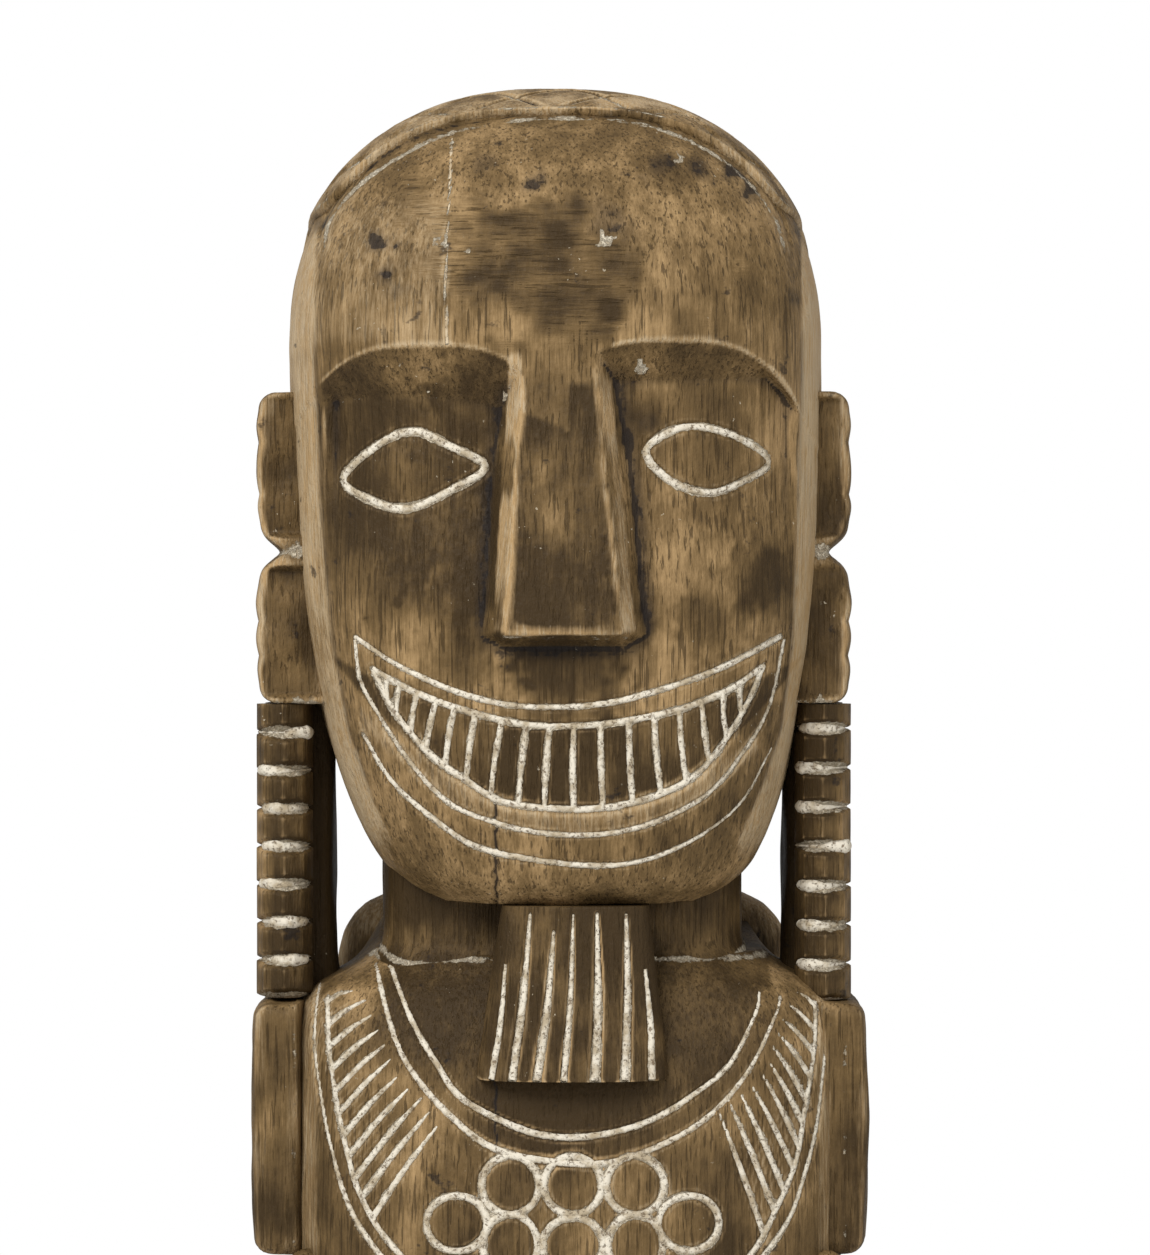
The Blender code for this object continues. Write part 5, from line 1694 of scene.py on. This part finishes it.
    def build(self) -> None:
        """Make the torso, the hump behind it and the lime in its lines."""
        foot, top = self.sections[0][0], self.sections[-1][0]
        carved_from, carved_to = 0.4600, 0.6340
        levels = np.concatenate([
            np.linspace(foot, carved_from, 40, endpoint=False),
            np.linspace(carved_from, carved_to, 172, endpoint=False),
            np.linspace(carved_to, top, 14),
        ])
        skin = self.column.skin(levels, turns(290, 56))
        x, y, z = np.moveaxis(skin.points, -1, 0)
        hump = 0.022 * ease(y, 0.010, 0.045) * ease(z, 0.615, 0.6435) * ease(0.092 - np.abs(x), 0.0, 0.03)
        skin.points[..., 2] += hump
        skin.chisel(81)
        lines = self.lines()
        skin.carve([cut for cuts in lines.values() for cut in cuts])
        off = np.abs(x + 0.0250 + 0.0004 * np.sin(z * 700.0))
        split = ease(z, 0.560, 0.566) * ease(0.600 - z, 0.0, 0.004) * (y < -0.02)
        skin.add_mask("dirt_and_shade", split * np.clip(1.3 - off / 0.0008, 0.0, 1.0))
        inner = lines["necklace_inner_line"][0].places
        outer = lines["necklace_outer_line"][0].places
        over_inner = z - np.interp(x, inner[:, 0], inner[:, 2])
        over_outer = z - np.interp(x, outer[:, 0], outer[:, 2])
        front = (y < -0.02) * ease(0.0815 - np.abs(x - 0.0065), 0.0, 0.004)
        # Painted shade: besides the torso's staining, the chest between the neck and the necklace's inner
        # line is darkened as the shade under the chin and beard.
        skin.masks["stain_and_shade"] = np.clip(
            0.30 + 0.35 * noise(skin.points, 0.016, 87) + 0.95 * front * ease(over_inner, 0.0, 0.002), 0.0,
            1.2
        )
        skin.add_mask(
            "worn", 0.40 * ease(np.abs(x - 0.004), 0.098, 0.104) * (y < -0.02) * ease(z, 0.50, 0.53)
        )
        band = front * ease(over_outer, 0.0, 0.001) * ease(-over_inner, 0.0, 0.001)
        skin.add_mask("stain_and_shade", 0.30 * band)
        skin.add_mask("worn", 0.30 * band * ease(0.004 - over_outer, 0.0, 0.003))
        neck_seam = bell(z - 0.6420, 0.0025) * (y < 0.0)
        arm_seam = bell(np.abs(x - 0.0045) - 0.1105, 0.0020) * (y < -0.02) * (z > 0.49)
        skin.add_mask("lime", 0.75 * neck_seam + 0.55 * arm_seam)
        self.shop.wood("carved_torso", skin, ["torso"])
        for node, cuts in lines.items():
            self.shop.lime(f"dried_{node}", cuts, [node])
        self.build_hump()

    def build_hump(self) -> None:
        """Make the hump of the upper back, which shows on both sides of the neck."""
        levels = np.linspace(self.hump_sections[0][0], self.hump_sections[-1][0], 60)
        column = Column(self.hump_sections, exponent=2.4, centre_y=0.056)
        hump = column.skin(levels, np.linspace(0, math.tau, 160, endpoint=False))
        hump.chisel(83, 1.8)
        hump.masks["stain_and_shade"] = 0.20 + 0.3 * noise(hump.points, 0.012, 85)
        hump.masks["worn"] = 0.25 + 0.3 * noise(hump.points, 0.010, 86)
        self.shop.wood("back_hump", hump, [])


@dataclass
class Arm:
    """An arm: the upper arm down the log's side, the forearm laid across the belly, and the hand."""

    shop: Workshop
    side: str
    reach: float
    torso: Torso
    foot: float = 0.5215
    top: float = 0.6235
    corner: float = 0.0060
    thickness: float = 0.0215
    middle_x: float = 0.0030
    fingers: int = 4
    forearm: tuple[Point, ...] = (
        (0.1070, 0.5140), (0.0920, 0.4900), (0.0700, 0.4700), (0.0480, 0.4590), (0.0280, 0.4520),
    )

    def build(self) -> None:
        """Make the arm in two skins, with fingers at its end."""
        sign = SIGNS[self.side]
        levels = end_levels(self.foot, self.top, 150, (0.0007, 0.0007))
        ends = np.minimum(levels - self.foot, self.top - levels)
        round_end = rounding(ends, self.corner)
        outer = self.reach - 0.0004 - round_end - 0.0012 * ((levels - 0.572) / 0.05) ** 2
        inner = self.reach - self.thickness
        sections = [
            (z, sign * (o + inner) / 2, (o - inner) / 2, 0.052 - 0.5 * r, 0.045 - 0.5 * r)
            for z, o, r in zip(levels, outer, round_end)
        ]
        upper = Column(tuple(sections), exponent=9.0).skin(levels, turns(150, 60))
        upper.chisel(91 if sign > 0 else 93, 1.7)
        x, y, z = np.moveaxis(upper.points, -1, 0)
        seam = bell(np.abs(x - 0.0045) - 0.1120, 0.0018) * (y < -0.035)
        upper.masks["lime"] = 0.55 * seam
        upper.masks["stain_and_shade"] = 0.40 + 0.4 * noise(upper.points, (0.012, 0.012, 0.030), 95)
        self.shop.wood(f"{self.side}_upper_arm", upper, [f"{self.side}_arm"], wear=0.45)
        route = [(self.middle_x + sign * u, v) for u, v in self.forearm]
        self.limb(f"{self.side}_forearm", route, 0.0125, 0.0078, 97)
        knuckle, tip = self.middle_x + sign * 0.0330, self.middle_x + sign * 0.0120
        for finger in range(self.fingers):
            drop = -0.0078 + 0.0052 * finger
            path = [(knuckle, 0.4550 + drop), (tip, 0.4500 + drop * 1.1)]
            self.limb(f"{self.side}_finger_{finger + 1}", path, 0.0027, 0.0072, 101 + finger)

    def limb(self, name: str, points: list[Point], half_width: float, height: float, seed: int) -> None:
        """Lay a rounded bar on the torso along a path.

        Args:
            name: The piece's name.
            points: The (x, z) points of the path.
            half_width: Half the bar's width.
            height: How far it stands proud.
            seed: The seed of its dents.
        """
        path = smooth_path(points)[::2]
        cut = Cut.on(self.torso.column.front, path, half_width)
        tangent = np.gradient(cut.places, axis=0)
        tangent /= np.linalg.norm(tangent, axis=1, keepdims=True)
        across = np.cross(tangent, cut.outward)
        around = np.linspace(0.0, math.tau, 56, endpoint=False)
        n = 3.2
        reach = (np.abs(np.cos(around)) ** n + np.abs(np.sin(around)) ** n) ** (-1.0 / n)
        share = np.linspace(0.0, 1.0, len(path))
        end = np.sqrt(np.clip(1.0 - np.clip((share - 0.93) / 0.07, 0.0, 1.0) ** 2, 0.03, 1.0))
        side_way = (
            (reach * np.cos(around))[None, :, None] * across[:, None, :] * (half_width * end)[:, None, None]
        )
        out_way = (
            (reach * np.sin(around))[None, :, None] * cut.outward[:, None, :] * (height * end)[:, None, None]
        )
        skin = Skin(cut.places[:, None, :] + side_way + out_way)
        if float((skin.normals() * (skin.points - cut.places[:, None, :])).sum(-1).mean()) < 0:
            skin = Skin(skin.points[:, ::-1])
        skin.chisel(seed, 1.2)
        self.shop.wood(name, skin, [])


@dataclass
class LowerBody:
    """The loincloth, the legs, the feet and the round base."""

    shop: Workshop
    pleats: int = 44
    cloth_sections: Rows = (
        (0.3303, 0.0, 0.1020, 0.0850, 0.084),
        (0.3450, 0.0, 0.1080, 0.0910, 0.088),
        (0.3850, 0.0, 0.1090, 0.0910, 0.087),
        (0.3997, 0.0, 0.1060, 0.0860, 0.084),
    )
    cloth_bands: tuple[float, ...] = (0.3850, 0.3400)
    leg_sections: Rows = (
        (0.0880, 0.0520, 0.0380, 0.0380, 0.050),
        (0.1200, 0.0520, 0.0400, 0.0420, 0.062),
        (0.1700, 0.0530, 0.0460, 0.0600, 0.072),
        (0.2150, 0.0530, 0.0460, 0.0880, 0.058),
        (0.2450, 0.0530, 0.0470, 0.0860, 0.064),
        (0.3310, 0.0530, 0.0480, 0.0740, 0.078),
    )
    leg_bands: tuple[float, ...] = (0.1960, 0.1900, 0.1020)
    foot_rows: Rows = (
        (0.0500, -0.1000, 0.0600), (0.0640, -0.0970, 0.0600), (0.0780, -0.0700, 0.0580),
        (0.0905, -0.0420, 0.0540),
    )
    toe_pitch: float = 0.0154

    def build(self) -> None:
        """Make all four kinds of piece."""
        self.loincloth()
        for side in SIGNS:
            self.leg(side)
            self.foot(side)
        self.base()

    def loincloth(self) -> None:
        """Make the loincloth, cut with upright pleats between two bands."""
        column = Column(self.cloth_sections)
        levels = np.linspace(self.cloth_sections[0][0], self.cloth_sections[-1][0], 80)
        around = np.linspace(0.0, math.tau, 360, endpoint=False)
        skin = column.skin(levels, around)
        z = skin.points[..., 2]
        pleat = (
            np.abs(np.mod(around * self.pleats / math.tau, 1.0) - 0.5)[None, :] * ease(z, 0.338, 0.343)
            * ease(0.384 - z, 0.0, 0.004)
        )
        groove = np.clip(pleat * 2 - 0.68, 0.0, 0.32) / 0.32
        band = sum(bell(z - height, 0.0016) for height in self.cloth_bands)
        skin.push(-0.0022 * groove - 0.0018 * band)
        skin.chisel(111)
        skin.masks["lime"] = np.clip(0.85 * groove + 0.8 * band, 0.0, 1.0)
        self.shop.wood("pleated_loincloth", skin, ["loincloth"])

    def leg(self, side: str) -> None:
        """Make a bent leg with a band cut under the knee."""
        sign = SIGNS[side]
        column = Column(tuple((z, sign * c, w, f, b) for z, c, w, f, b in self.leg_sections), exponent=2.8)
        levels = np.linspace(self.leg_sections[0][0], self.leg_sections[-1][0], 200)
        skin = column.skin(levels, turns(120, 60))
        z = skin.points[..., 2]
        bands = sum(bell(z - height, 0.0015) for height in self.leg_bands)
        skin.push(-0.0020 * np.clip(bands, 0.0, 1.0))
        skin.chisel(121 if sign > 0 else 127, 1.8)
        skin.masks["lime"] = 0.8 * np.clip(bands, 0.0, 1.0)
        self.shop.wood(f"{side}_bent_leg", skin, [f"{side}_leg"])

    def foot(self, side: str) -> None:
        """Make a foot with toes parted by cuts."""
        sign = SIGNS[side]
        heights, toes, heels = zip(*self.foot_rows)
        levels = end_levels(heights[0], heights[-1], 60, (0.0006, 0.0005))
        toe, heel = np.interp(levels, heights, toes), np.interp(levels, heights, heels)
        sections = [(z, sign * 0.0490, 0.0385, -t, h) for z, t, h in zip(levels, toe, heel)]
        skin = Column(tuple(sections), exponent=4.2).skin(levels, turns(160, 60))
        x, y, z = np.moveaxis(skin.points, -1, 0)
        across = np.abs(np.mod((x * sign - 0.0105) / self.toe_pitch, 1.0) - 0.5) * 2.0
        between = (
            np.clip((across - 0.78) / 0.22, 0.0, 1.0) * ease(-y, 0.060, 0.072) * ease(x * sign, 0.016, 0.020)
            * ease(0.082 - x * sign, 0.0, 0.004)
        )
        skin.push(-0.0030 * between)
        skin.chisel(131 if sign > 0 else 137, 1.3)
        skin.masks["lime"] = 0.9 * between
        self.shop.wood(f"{side}_toed_foot", skin, [f"{side}_foot"], self.shop.finishes.pale, Slot.WORN)

    def base(self) -> None:
        """Make the round base left from the log, with tool marks round its side."""
        around = np.linspace(0.0, math.tau, 300, endpoint=False)
        rows = [(0.060, 0.0), (0.1262, 0.0), (0.1274, 0.0012)]
        rows += [(0.1276, z) for z in np.linspace(0.0030, 0.0470, 34)] + [(0.1274, 0.0488), (0.1262, 0.0500)]
        rows += [(r, 0.0500) for r in np.linspace(0.120, 0.010, 24)]
        skin = Skin(
            np.array([
                np.stack([r * np.cos(around), r * np.sin(around), np.full(300, z)], axis=-1) for r, z in rows
            ])
        )
        inside = ease(skin.points[..., 2], 0.002, 0.006)
        skin.push(inside * (0.0004 * noise(skin.points, (0.014, 0.014, 0.030), 141) - 0.0004))
        skin.masks["stain_and_shade"] = 0.6 * np.ones(skin.points.shape[:2])
        self.shop.wood("log_foot", skin, ["base"], self.shop.finishes.wood, Slot.DARK)


# ---- The studio ----


@dataclass
class Studio:
    """A plain pale floor, a white surround, soft lights, and the camera before the figure's face."""

    camera_place: tuple[float, float, float] = (0.0067, -2.0, 0.7764)
    lens: float = 137.4
    ambient: float = 0.5
    floor_half: float = 3.0
    aim_height: float = 0.78

    def build(self) -> None:
        """Make the surround, the floor, the lights and the camera."""
        scene = bpy.context.scene
        scene.view_settings.view_transform = "Standard"
        world = bpy.data.worlds.new("surround")
        world.use_nodes = True
        backdrop = world.node_tree.nodes["Background"]
        backdrop.inputs["Color"].default_value = colour(1.0, 1.0, 1.0)
        tree = Tree(world.node_tree)
        seen = tree.add("ShaderNodeLightPath").outputs["Is Camera Ray"]
        tree.link(tree.blend(seen, self.ambient, 1.0), backdrop.inputs["Strength"])
        scene.world = world
        self.floor()
        self.light("key", (-1.0, -1.9, 2.4), 1.3, 62.0)
        self.light("fill", (1.6, -1.8, 1.3), 1.6, 12.0)
        camera = bpy.data.objects.new("camera", bpy.data.cameras.new("camera"))
        camera.data.lens = self.lens
        camera.data.sensor_width = 36.0
        camera.location = self.camera_place
        camera.rotation_euler = (math.pi / 2, 0.0, 0.0)
        scene.collection.objects.link(camera)
        scene.camera = camera

    def floor(self) -> None:
        """Make the floor."""
        mesh = bpy.data.meshes.new("floor")
        half = self.floor_half
        mesh.from_pydata([
            (-half, -half, 0.0), (half, -half, 0.0), (half, half, 0.0), (-half, half, 0.0)
        ], [], [(0, 1, 2, 3)])
        floor = bpy.data.objects.new("floor", mesh)
        material = bpy.data.materials.new("pale floor")
        material.use_nodes = True
        shader = material.node_tree.nodes["Principled BSDF"]
        shader.inputs["Base Color"].default_value = colour(0.82, 0.81, 0.79)
        shader.inputs["Roughness"].default_value = 0.8
        mesh.materials.append(material)
        bpy.context.scene.collection.objects.link(floor)

    def light(self, name: str, place: tuple[float, float, float], size: float, power: float) -> None:
        """Make a square area light that points at the face.

        Args:
            name: Its name.
            place: Where it hangs.
            size: The length of its side.
            power: Its power in watts.
        """
        data = bpy.data.lights.new(name, "AREA")
        data.energy = power
        data.size = size
        lamp = bpy.data.objects.new(name, data)
        lamp.location = place
        lamp.rotation_euler = (
            Vector((0.0, 0.0, self.aim_height)) - Vector(place)
        ).to_track_quat("-Z", "Y").to_euler()
        bpy.context.scene.collection.objects.link(lamp)


def main() -> None:
    """Build the figure's parts in order, then the studio, and note the sizes."""
    logging.basicConfig(level=logging.INFO, format="%(name)s: %(message)s")
    shop = Workshop(Finishes.build(), build_bead_tree(), build_stack_tree())
    head, torso = Head(shop), Torso(shop)
    reaches = {"left": 0.1205, "right": 0.1245}
    parts = [head, Cap(shop, head), Neck(shop), Beard(shop), torso, LowerBody(shop)]
    parts += [Ear(shop, side, reach) for side, reach in reaches.items()]
    parts += [
        Pendant(shop, "left", reaches["left"], 0.7351, 0.0161),
        Pendant(shop, "right", reaches["right"], 0.7334, 0.0155)
    ]
    parts += [Arm(shop, "left", 0.1270, torso), Arm(shop, "right", 0.1260, torso)]
    for part in parts:
        part.build()
        LOG.info("built %s", type(part).__name__)
    Studio().build()


if __name__ == "__main__":
    main()
